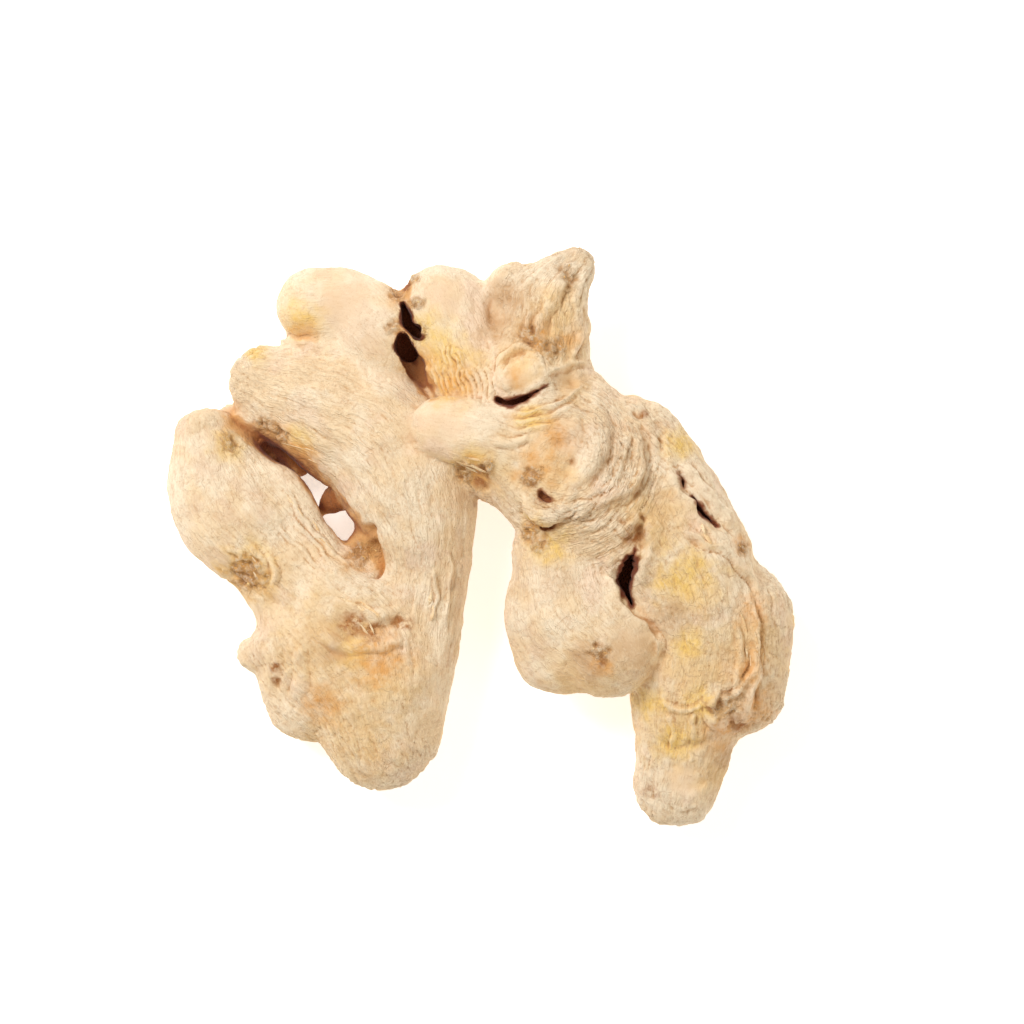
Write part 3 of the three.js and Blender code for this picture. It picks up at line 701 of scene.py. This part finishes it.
def store(mesh, name, kind, values):
    layer = mesh.attributes.new(name, kind, "POINT")
    field = "vector" if kind == "FLOAT_VECTOR" else "value"
    layer.data.foreach_set(field, np.ascontiguousarray(values, np.float32).ravel())


def make_skin():
    """The whole skin, with what the material needs to know about each point of it."""
    low, distance = sample_form()
    points, quads = keep_outer_skin(*net_skin(low, distance))
    points = even_out(points, quads, passes=3)
    form = points
    smooth_normals = skin_normals(even_out(points, quads, passes=6), quads)
    upper = ramp(smooth_normals[:, 2], -0.15, 0.35)
    torn = 0.4 * noise(points / 3, seed=71, octaves=3)
    seen = ramp(smooth_normals[:, 2], -0.4, 0.1)
    zones = {name: patch(points, name, torn) * seen for name in PATCHES}
    grain = grain_of(points)
    folds = fold_relief(points, upper)
    relief = skin_relief(points, grain, zones) + folds
    points = points + smooth_normals * relief[:, None]
    points[:, 2] = np.maximum(points[:, 2], MIDDLE[2])
    normals = skin_normals(points, quads)

    # How sunken each point is, against the skin close round it and against the whole crevice, and
    # how near other flesh stands in front of it. The material paints shade from these, and a highlight
    # where the skin stands proud.
    close = ((even_out(points, quads, passes=5) - points) * normals).sum(axis=1)
    wide = ((even_out(points, quads, passes=40) - points) * normals).sum(axis=1)
    ahead = ((form + smooth_normals * OPEN_GAP - low) / CELL).round().astype(int)
    room = distance[tuple(np.clip(ahead, 0, np.array(distance.shape) - 1).T)]
    walled = even_out(ramp(1 - room / OPEN_GAP, 0.2, 1.2), quads, passes=4)

    mesh = bpy.data.meshes.new("full_skin")
    mesh.from_pydata(((points - MIDDLE) * MM).tolist(), [], quads.tolist())
    mesh.polygons.foreach_set("use_smooth", [True] * len(mesh.polygons))
    places, shares, finish, heading = grain
    for family, straight in enumerate(places):
        store(mesh, f"grain_{family}", "FLOAT_VECTOR", straight)
    store(mesh, "grain_shares", "FLOAT_VECTOR", shares[:3].T)
    store(mesh, "finish", "FLOAT_VECTOR", finish)
    store(mesh, "flow", "FLOAT_VECTOR", heading)
    # Of these sheets, the stain sheet holds a stain and painted shade, and the crack sheet holds
    # painted shade.
    sheets = {"close_depth": close, "wide_depth": wide, "walled": walled, "upper": upper,
              "stain_and_crevice_shade": stain_and_crevice_shade(form, smooth_normals), "crack_shade": painted_crack_shade(form), **zones}
    for name, values in sheets.items():
        store(mesh, name, "FLOAT", values)
    return mesh


# Painted shade on the steep walls and low floors of the crevices, with a stain on the level skin beside
# them: how far it reaches from a path of x and y, and how strong it stays on the level skin to the left
# of the path. It widens along the path.
STAINED_AND_SHADED_WALLS = {
    "long_crevice": (4.6, 0.4, [
        (-50.6, 25), (-48.6, 23.8), (-45.2, 22.2), (-41.2, 19.8), (-36.8, 16.6), (-33.6, 12.6),
        (-30.6, 8.6), (-27.6, 4.6), (-24, 0), (-20.6, -4.8)]),
    "knob_walls": (2.8, 0.2, [(-13, 57), (-12.5, 50), (-12.5, 42), (-8, 33)]),
}
LEVEL_STAIN = 0.1
BOTTOM_OF_CREVICE = 12.0
SHADE_FADE_HEIGHT = 5.5


def stain_and_crevice_shade(points, normals):
    """How strongly each point is tinted: painted shade on the steep faces and low floors of the
    crevices, and a stain on the level skin beside them.
    """
    # Painted shade: strongest on the steep faces and low down in the crevices.
    steep = 1 - ramp(normals[:, 2], 0.25, 0.85)
    deep = 1 - ramp(points[:, 2], BOTTOM_OF_CREVICE, BOTTOM_OF_CREVICE + SHADE_FADE_HEIGHT)
    ragged = 1.1 * noise(points / 2.6, seed=41, octaves=3)
    strongest = np.zeros(len(points))
    for reach, left_share, path in STAINED_AND_SHADED_WALLS.values():
        gap, side, along = to_path(points[:, :2], thin_chain(path))
        gap = gap / (0.55 + 0.6 * along) + ragged
        level = np.where(side > 0, left_share, LEVEL_STAIN)
        strength = level + (1 - level) * np.maximum(steep, deep)
        strongest = np.maximum(strongest, strength * (1 - ramp(gap, 0.2 * reach, reach)))
    return strongest


def painted_crack_shade(points):
    """How dark the painted shade on a crack's walls and floor is at each point, and 0 on the skin round
    them.
    """
    faces = np.zeros(len(points))
    for _, floor, dark, path in CRACKS.values():
        sections = refine(path)
        near = np.flatnonzero(within(points, sections, NEAR_SKIN) & (points[:, 2] > floor - 1))
        shown = 1 - ramp(across_crack(points[near], sections), 0, 0.6)
        faces[near] = np.maximum(faces[near], dark * shown)
    return faces


def add_object(name, data):
    piece = bpy.data.objects.new(name, data)
    bpy.context.collection.objects.link(piece)
    return piece


def keep_mesh(holder, name):
    """The mesh that an object's modifiers make of it. The object itself goes."""
    finished = holder.evaluated_get(bpy.context.evaluated_depsgraph_get())
    mesh = bpy.data.meshes.new_from_object(finished)
    mesh.name = name
    bpy.data.objects.remove(holder)
    return mesh


def thin_out(mesh):
    """Fewer triangles, most of all where the skin is plain."""
    holder = add_object("holder", mesh)
    thinner = holder.modifiers.new("thinner", "DECIMATE")
    thinner.ratio = TRIANGLES / (2 * len(mesh.polygons))
    thinned = keep_mesh(holder, "rhizome_skin")
    bpy.data.meshes.remove(mesh)
    return thinned


class Flow:
    """A socket of a node tree. A sum, difference or product with it adds a Math node."""

    def __init__(self, tree, socket):
        self.tree = tree
        self.socket = socket

    def math(self, operation, first, second=0.0):
        return add_node(self.tree, "ShaderNodeMath", {0: first, 1: second}, operation=operation)

    def __add__(self, other):
        return self.math("ADD", self, other)

    def __sub__(self, other):
        return self.math("SUBTRACT", self, other)

    def __rsub__(self, other):
        return self.math("SUBTRACT", other, self)

    def __mul__(self, other):
        return self.math("MULTIPLY", self, other)

    __radd__ = __add__
    __rmul__ = __mul__


def plug(tree, node, sockets):
    """Gives each socket of a node its value or its link."""
    for name, value in sockets.items():
        if isinstance(value, Flow):
            tree.links.new(value.socket, node.inputs[name])
        else:
            node.inputs[name].default_value = value


def add_node(tree, kind, sockets=None, output=0, **settings):
    """A node of any kind: its settings first, then the values or links of its sockets."""
    node = tree.nodes.new(kind)
    for name, value in settings.items():
        setattr(node, name, value)
    plug(tree, node, sockets or {})
    return Flow(tree, node.outputs[output])


def from_sheet(tree, name, output="Fac"):
    return add_node(tree, "ShaderNodeAttribute", output=output, attribute_name=name)


def scaled(vector, factors):
    sockets = {0: vector, 1: factors}
    return add_node(vector.tree, "ShaderNodeVectorMath", sockets, operation="MULTIPLY")


def between(value, low, high):
    """0 on low's side, 1 on high's side, and a smooth step from one to the other."""
    sockets = {"Value": value, "From Min": low, "From Max": high}
    return add_node(value.tree, "ShaderNodeMapRange", sockets, interpolation_type="SMOOTHSTEP")


def components(vector):
    first = add_node(vector.tree, "ShaderNodeSeparateXYZ", {0: vector})
    return [Flow(vector.tree, socket) for socket in first.socket.node.outputs]


def groove(noise_value, sharpness):
    """0 along the lines where a noise crosses its middle, and 1 away from them."""
    away = noise_value.math("ABSOLUTE", noise_value - 0.5)
    return away.math("MINIMUM", away * sharpness, 1.0)


def speckle(vector, scale, detail=2.0, roughness=0.55):
    sockets = {"Vector": vector, "Scale": scale, "Detail": detail, "Roughness": roughness}
    return add_node(vector.tree, "ShaderNodeTexNoise", sockets)


def tinted(share, under, over):
    """One colour over another: where the share is 1, the one below is hidden."""
    sockets = {0: share, 6: under, 7: over}
    return add_node(share.tree, "ShaderNodeMix", sockets, 2, data_type="RGBA", clamp_factor=True)


def bump_of(height):
    """The bump of a height in millimetres."""
    return add_node(height.tree, "ShaderNodeBump", {"Height": height * MM, "Distance": 1.0})


def start_material(name):
    material = bpy.data.materials.new(name)
    material.use_nodes = True
    tree = material.node_tree
    return material, tree, tree.nodes["Principled BSDF"]


def in_millimetres(tree):
    """The place on the piece, in millimetres."""
    return scaled(add_node(tree, "ShaderNodeTexCoord", output="Object"), (1 / MM,) * 3)


def colour(red, green, blue):
    """A colour given as seen, 0 to 255, as the light that it gives back."""
    seen = [value / 255 for value in (red, green, blue)]
    return (*[((v + 0.055) / 1.055) ** 2.4 if v > 0.04 else v / 12.92 for v in seen], 1.0)


CREAM = colour(250, 232, 202)
PEACH = colour(245, 219, 180)
PINK = colour(247, 218, 192)
MAUVE = colour(229, 197, 167)
PALE = colour(251, 231, 199)
GROOVE = colour(202, 154, 102)
YELLOW = colour(250, 210, 112)
ORANGE = colour(232, 168, 92)
TAN = colour(226, 184, 130)
BUFF = colour(240, 208, 170)
GREY_BROWN = colour(212, 177, 136)
UMBER = colour(172, 112, 60)
RUST = colour(220, 164, 98)
# Colours of the painted shade in crevices and cracks.
CREVICE_SHADE = colour(160, 96, 48)
DEEP_SHADE = colour(132, 68, 38)
FIBRE_PATTERN = (0.12, 1.1, 1.1)
FIBRIL_PATTERN = (0.3, 2.6, 2.6)


def flesh_material():
    """Bare dried flesh: cream to peach, darker in its grooves, with painted shade in its sunken skin,
    crevices and cracks, an orange-brown stain beside the crevices, and a painted highlight on proud
    ridges.
    """
    material, tree, shader = start_material("dried_flesh")
    place = in_millimetres(tree)

    def sheet(name):
        return from_sheet(tree, name)

    weights = components(from_sheet(tree, "grain_shares", "Vector"))
    weights.append(1 - weights[0] - weights[1] - weights[2])
    fibres, _, crinkles = components(from_sheet(tree, "finish", "Vector"))
    drift = speckle(place, 0.3) * 1.6
    fibre = 0.0
    fibril = 0.0
    for family, weight in enumerate(weights):
        grain = from_sheet(tree, f"grain_{family}", "Vector")
        drifted = add_node(tree, "ShaderNodeVectorMath", {0: grain, 1: drift}, operation="ADD")
        wide = speckle(scaled(drifted, FIBRE_PATTERN), 1.0, 3.0, 0.6)
        narrow = speckle(scaled(drifted, FIBRIL_PATTERN), 1.0)
        fibre = groove(wide, 9.0) * weight + fibre
        fibril = narrow * weight + fibril
    mottle = speckle(place, 0.1, 3.0)
    tint = speckle(place, 0.07, 4.0, 0.6)
    blotch = speckle(place, 0.4, 4.0, 0.65)
    crackle = groove(speckle(place, 0.3, 5.0, 0.6), 18.0)
    grit = speckle(place, 2.4, 3.0, 0.7)
    pore = speckle(place, 1.1)
    chip = speckle(place, 0.9, 3.0, 0.6)
    smooth = 1 - sheet("smooth") * 0.65
    crumbly = sheet("crumbly")

    # The height of what is too fine for the mesh, in millimetres.
    height = (fibre * (fibres * 0.07 + 0.03) + fibril * (fibres * 0.22 + 0.16)) * smooth
    height = height + crackle * (crinkles * 0.1 + 0.03) * smooth + grit * 0.1
    height = height + crumbly * (grit * 0.5 + chip * 0.9)

    # Darker lines between the fibres and in the crackled skin, broken up by the pores.
    lines = (1 - fibre) * (fibres * 0.15 + 0.08) + (1 - crackle) * (crinkles * 0.3 + 0.1)
    lines = lines + between(fibril, 0.5, 0.3) * (fibres * 0.2 + 0.15)
    lines = lines * smooth * (between(pore, 0.35, 0.62) * 0.75 + 0.25)

    # The underside is blotched with yellow, and the crevice stain with its painted shade, and the
    # painted shade of the hemmed-in walls, end raggedly.
    tan = sheet("tan")
    yellow = sheet("yellow") + (1 - sheet("upper")) * between(mottle, 0.5, 0.62) * 0.6
    ragged = blotch * 0.5 - 0.25
    stain_and_shade = sheet("stain_and_crevice_shade") + ragged * 0.7
    walled = sheet("walled") + ragged * 0.5
    close = sheet("close_depth")
    crack_shade = sheet("crack_shade")

    # How much shows of each colour, from the first that is laid on the cream to the last.
    coats = [
        (between(mottle, 0.42, 0.6), PEACH),
        (between(tint, 0.52, 0.66) * 0.6, PINK),
        (between(tint, 0.46, 0.34) * 0.45, MAUVE),
        (sheet("smooth") * 0.55, BUFF),
        (tan * 0.35, YELLOW),
        (tan * (between(blotch, 0.3, 0.7) * 0.4 + 0.2), TAN),
        (yellow * (between(blotch, 0.3, 0.65) * 0.4 + 0.5), YELLOW),
        (sheet("grey") * between(tint, 0.3, 0.6), GREY_BROWN),
        (lines, GROOVE),
        (between(fibril, 0.52, 0.72) * 0.3, PALE),
        (between(grit, 0.44, 0.3) * 0.35, GROOVE),
        (sheet("orange") * (between(blotch, 0.3, 0.75) * 0.65 + 0.35), ORANGE),
        (sheet("brown") * between(blotch, 0.62, 0.42), UMBER),
        (crumbly * 0.5, RUST),
        (crumbly * between(chip, 0.46, 0.34) * 0.7, GROOVE),
        (crumbly * between(chip, 0.5, 0.64) * 0.6, PALE),
        # Painted highlight on proud skin, and painted shade in sunken skin and broad hollows.
        (between(close, -0.02, -0.16) * 0.3, PALE),
        (between(close, 0.02, 0.2) * 0.6, GROOVE),
        (between(close, 0.14, 0.4) * 0.55, UMBER),
        (between(sheet("wide_depth"), 0.3, 1.5) * 0.5, UMBER),
        # The crevice stain on the level skin beside the crevices, and painted shade on their steep
        # walls and low floors.
        (between(stain_and_shade, 0.05, 0.45) * 0.85, RUST),
        (between(stain_and_shade, 0.35, 0.95) * 0.95, CREVICE_SHADE),
        # Painted shade where other flesh stands close in front of the skin.
        (between(walled, 0.4, 0.85) * 0.75, CREVICE_SHADE),
        (between(walled, 0.7, 1.0), DEEP_SHADE),
        # Painted shade in the cracks.
        (between(crack_shade, 0.0, 0.5) * 0.7, CREVICE_SHADE),
        (between(crack_shade, 0.4, 0.95), DEEP_SHADE),
    ]
    skin = CREAM
    for share, over in coats:
        skin = tinted(share, skin, over)
    plug(tree, shader, {"Base Color": skin, "Normal": bump_of(height), "Roughness": 0.8,
                        "Specular IOR Level": 0.3, "Sheen Weight": 0.1})
    return material


rhizome = add_object("rhizome_skin", thin_out(make_skin()))
rhizome.data.materials.append(flesh_material())
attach(rhizome, "root")
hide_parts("rhizome")

# Crumbs: grains and lumps of dried flesh where the root broke, rubbed or was cut from its neighbours.
# They are grown together with the skin, and lie thickest in the scars and along the torn rims.
CRUMB_SIZE = 0.5 * MM
CRUMBS_PER_AREA = 3.0e5
CRUMB_SPACING = 1.0 * MM
CRUMB_SINK = 0.8
CRUMB_LUMPINESS = 1.3
CRUMB_SEED = 5
CRUMB_LIGHT = colour(251, 222, 160)
CRUMB_DARK = colour(234, 184, 112)


def start_tree(name, *numbers):
    """A geometry tree with the skin and some numbers going in, and one geometry coming out."""
    tree = bpy.data.node_groups.new(name, "GeometryNodeTree")
    tree.interface.new_socket("Skin", in_out="INPUT", socket_type="NodeSocketGeometry")
    for number in numbers:
        tree.interface.new_socket(number, in_out="INPUT", socket_type="NodeSocketFloat")
    tree.interface.new_socket("Pieces", in_out="OUTPUT", socket_type="NodeSocketGeometry")
    inlet = tree.nodes.new("NodeGroupInput")
    return tree, [Flow(tree, socket) for socket in inlet.outputs[:-1]]


def finish_tree(tree, pieces, material):
    real = add_node(tree, "GeometryNodeRealizeInstances", {"Geometry": pieces})
    rounded = add_node(tree, "GeometryNodeSetShadeSmooth", {"Geometry": real})
    sockets = {"Geometry": rounded, "Material": material}
    dressed = add_node(tree, "GeometryNodeSetMaterial", sockets)
    outlet = tree.nodes.new("NodeGroupOutput")
    tree.links.new(dressed.socket, outlet.inputs[0])


def grow_on_skin(tree, name, values):
    """Runs a geometry tree on the skin, and keeps what it makes as a plain mesh."""
    holder = add_object("holder", rhizome.data)
    modifier = holder.modifiers.new(name, "NODES")
    modifier.node_group = tree
    sockets = [item for item in tree.interface.items_tree if item.in_out == "INPUT"][1:]
    for socket, value in zip(sockets, values):
        modifier[socket.identifier] = value
    return add_object(name, keep_mesh(holder, name))


def sheet_of(tree, name, kind="FLOAT"):
    return add_node(tree, "GeometryNodeInputNamedAttribute", {"Name": name}, data_type=kind)


def scatter(skin, mask, spacing, density, seed):
    """Points on the skin, no two nearer than the spacing, and which way the skin faces there."""
    sockets = {"Mesh": skin, "Distance Min": spacing, "Density Max": density,
               "Density Factor": mask, "Seed": seed}
    points = add_node(skin.tree, "GeometryNodeDistributePointsOnFaces", sockets,
                      distribute_method="POISSON")
    return points, Flow(skin.tree, points.socket.node.outputs["Normal"])


def scaled_by(vector, number):
    sockets = {0: vector, "Scale": number}
    return add_node(vector.tree, "ShaderNodeVectorMath", sockets, operation="SCALE")


def random_vector(tree, low, high, seed):
    sockets = {0: (low,) * 3, 1: (high,) * 3, "Seed": seed}
    return add_node(tree, "FunctionNodeRandomValue", sockets, data_type="FLOAT_VECTOR")


def crumb_tree(material):
    tree, (skin, size, density, spacing) = start_tree("crumbs", "Size", "Density", "Spacing")
    open_skin = 1 - between(sheet_of(tree, "walled"), 0.2, 0.6)
    mask = between(sheet_of(tree, "crumbly"), 0.3, 1.0) * open_skin
    points, normal = scatter(skin, mask, spacing, density, CRUMB_SEED)
    sockets = {"Geometry": points, "Offset": scaled_by(normal, size * -CRUMB_SINK)}
    sunk = add_node(tree, "GeometryNodeSetPosition", sockets)

    # One crumb: a ball pushed out of shape.
    ball = add_node(tree, "GeometryNodeMeshIcoSphere", {"Radius": 1.0, "Subdivisions": 2})
    sockets = {"Vector": add_node(tree, "GeometryNodeInputPosition"), "Scale": 1.3, "Detail": 2.0}
    rough = add_node(tree, "ShaderNodeTexNoise", sockets, "Color")
    sockets = {0: rough, 1: (2 * CRUMB_LUMPINESS,) * 3, 2: (-CRUMB_LUMPINESS,) * 3}
    pushed = add_node(tree, "ShaderNodeVectorMath", sockets, operation="MULTIPLY_ADD")
    lump = add_node(tree, "GeometryNodeSetPosition", {"Geometry": ball, "Offset": pushed})

    sockets = {"Points": sunk, "Instance": lump,
               "Rotation": random_vector(tree, 0.0, math.tau, CRUMB_SEED + 1),
               "Scale": scaled_by(random_vector(tree, 0.35, 1.2, CRUMB_SEED + 2), size)}
    finish_tree(tree, add_node(tree, "GeometryNodeInstanceOnPoints", sockets), material)
    return tree


def loose_flesh(name, light, dark, scale):
    """The same flesh in loose bits: no grain to follow, paler on some bits than on others."""
    material, tree, shader = start_material(name)
    place = in_millimetres(tree)
    grit = speckle(place, 3.0)
    skin = tinted(between(speckle(place, scale, 3.0), 0.38, 0.62), dark, light)
    skin = tinted(between(grit, 0.5, 0.34) * 0.5, skin, GROOVE)
    plug(tree, shader, {"Base Color": skin, "Normal": bump_of(grit * 0.1), "Roughness": 0.85,
                        "Specular IOR Level": 0.25})
    return material


crumb_flesh = loose_flesh("crumb_flesh", CRUMB_LIGHT, CRUMB_DARK, 0.3)
crumbs = grow_on_skin(crumb_tree(crumb_flesh), "crumbs",
                      (CRUMB_SIZE, CRUMBS_PER_AREA, CRUMB_SPACING))
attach(crumbs, "root")
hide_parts("rhizome")

# Fibres: the tough strands that run through the flesh. They come loose along the folds, round the
# scars and at the rims of the cracks, and lie along the grain. A strand's ends and its bend are in
# its lengths along it, and in its thicknesses across it.
FIBRE_LENGTH = 4.6 * MM
FIBRE_THICKNESS = 0.25 * MM
FIBRES_PER_AREA = 1.0e5
FIBRE_SPACING = 1.4 * MM
FIBRE_START = (-0.5, -1.6, -1.6)
FIBRE_BEND = (0.0, 3.4, 1.6)
FIBRE_END = (0.5, -2.2, -1.6)
FIBRE_STRAY = 0.28
FIBRE_SEED = 15
FIBRE_LIGHT = colour(249, 227, 188)
FIBRE_DARK = colour(242, 208, 158)


def random_number(tree, low, high, seed):
    sockets = {2: low, 3: high, "Seed": seed}
    return add_node(tree, "FunctionNodeRandomValue", sockets, 1, data_type="FLOAT")


def fibre_tree(material):
    tree, (skin, length, thick, density, spacing) = start_tree(
        "fibres", "Length", "Thickness", "Density", "Spacing")
    open_skin = 1 - between(sheet_of(tree, "walled"), 0.02, 0.12)
    mask = between(sheet_of(tree, "fibrous"), 0.2, 0.9) * open_skin
    points, normal = scatter(skin, mask, spacing, density, FIBRE_SEED)

    # One strand: a bent rod that thins out towards its ends.
    sockets = {"Resolution": 7, "Start": FIBRE_START, "Middle": FIBRE_BEND, "End": FIBRE_END}
    line = add_node(tree, "GeometryNodeCurveQuadraticBezier", sockets)
    along = add_node(tree, "GeometryNodeSplineParameter")
    sockets = {"Curve": line, "Radius": (1 - along) * along * 3.2 + 0.2}
    strand = add_node(tree, "GeometryNodeSetCurveRadius", sockets)
    ring = add_node(tree, "GeometryNodeCurvePrimitiveCircle", {"Resolution": 6, "Radius": 0.5})
    sockets = {"Curve": strand, "Profile Curve": ring, "Fill Caps": True}
    rod = add_node(tree, "GeometryNodeCurveToMesh", sockets)

    # It lies along the grain, more or less, and flat on the skin.
    sockets = {0: sheet_of(tree, "flow", "FLOAT_VECTOR"),
               1: random_vector(tree, -FIBRE_STRAY, FIBRE_STRAY, FIBRE_SEED + 1)}
    heading = add_node(tree, "ShaderNodeVectorMath", sockets, operation="ADD")
    turn = "FunctionNodeAlignRotationToVector"
    ahead = add_node(tree, turn, {"Vector": heading}, axis="X")
    sockets = {"Rotation": ahead, "Vector": normal}
    upright = add_node(tree, turn, sockets, axis="Z", pivot_axis="X")
    wide = random_number(tree, 0.5, 1.1, FIBRE_SEED + 3) * thick
    sockets = {"X": random_number(tree, 0.45, 1.3, FIBRE_SEED + 2) * length, "Y": wide, "Z": wide}
    shape = add_node(tree, "ShaderNodeCombineXYZ", sockets)
    sockets = {"Points": points, "Instance": rod, "Rotation": upright, "Scale": shape}
    finish_tree(tree, add_node(tree, "GeometryNodeInstanceOnPoints", sockets), material)
    return tree


fibre_flesh = loose_flesh("fibre_flesh", FIBRE_LIGHT, FIBRE_DARK, 0.25)
fibres = grow_on_skin(fibre_tree(fibre_flesh), "fibres",
                      (FIBRE_LENGTH, FIBRE_THICKNESS, FIBRES_PER_AREA, FIBRE_SPACING))
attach(fibres, "root")
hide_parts("rhizome")

# The stage: a plain, pale, matt floor that the root lies on. It glows faintly, so that it stays
# nearly white where it is seen through the root's holes.
FLOOR_COLOUR = (0.97, 0.97, 0.97, 1.0)
FLOOR_GLOW = 0.5
HALF_FLOOR = 2.0
corners = [(x * HALF_FLOOR, y * HALF_FLOOR, 0) for x, y in ((-1, -1), (1, -1), (1, 1), (-1, 1))]
floor_mesh = bpy.data.meshes.new("floor")
floor_mesh.from_pydata(corners, [], [(0, 1, 2, 3)])
floor = add_object("floor", floor_mesh)
floor_finish, floor_tree, floor_shader = start_material("floor")
plug(floor_tree, floor_shader, {"Base Color": FLOOR_COLOUR, "Roughness": 0.9,
                                "Emission Color": FLOOR_COLOUR, "Emission Strength": FLOOR_GLOW})
floor_mesh.materials.append(floor_finish)

# Studio light: a large soft lamp high on the left, a weaker one low on the right, and a pale room
# all round. Each lamp has its place, size, power and tone, and points at the root's middle.
MIDDLE_HEIGHT = 0.014
LAMPS = {
    "key": ((-0.66, 0.62, 0.92), 0.5, 10.9, (0.99, 1.0, 1.05)),
    "fill": ((0.8, -0.35, 0.7), 0.9, 2.2, (1.0, 0.97, 0.92)),
}
ROOM_TONE = (1.03, 0.95, 0.83, 1.0)
ROOM_STRENGTH = 0.53
for name, (spot, size, power, tone) in LAMPS.items():
    lamp = bpy.data.lights.new(name, "AREA")
    lamp.size = size
    lamp.energy = power
    lamp.color = tone
    holder = add_object(name, lamp)
    holder.location = spot
    sight = Vector((0, 0, MIDDLE_HEIGHT)) - Vector(spot)
    holder.rotation_euler = sight.to_track_quat("-Z", "Y").to_euler()
room = bpy.data.worlds.new("room")
room.use_nodes = True
backdrop = room.node_tree.nodes["Background"]
plug(room.node_tree, backdrop, {"Color": ROOM_TONE, "Strength": ROOM_STRENGTH})
bpy.context.scene.world = room
bpy.context.scene.view_settings.view_transform = "Standard"

# The camera looks straight down on the root from a little under a metre, with the whole of it in
# the picture and white all round it.
PICTURE_WIDTH = 0.2253
CAMERA_HEIGHT = 0.9
CAMERA_OVER = (0.00734, 0.00581)
SENSOR = 36.0
camera_data = bpy.data.cameras.new("camera")
camera_data.sensor_width = SENSOR
camera_data.lens = SENSOR * (CAMERA_HEIGHT - MIDDLE_HEIGHT) / PICTURE_WIDTH
camera_data.clip_start = 0.01
camera = add_object("camera", camera_data)
camera.location = (*CAMERA_OVER, CAMERA_HEIGHT)
bpy.context.scene.camera = camera
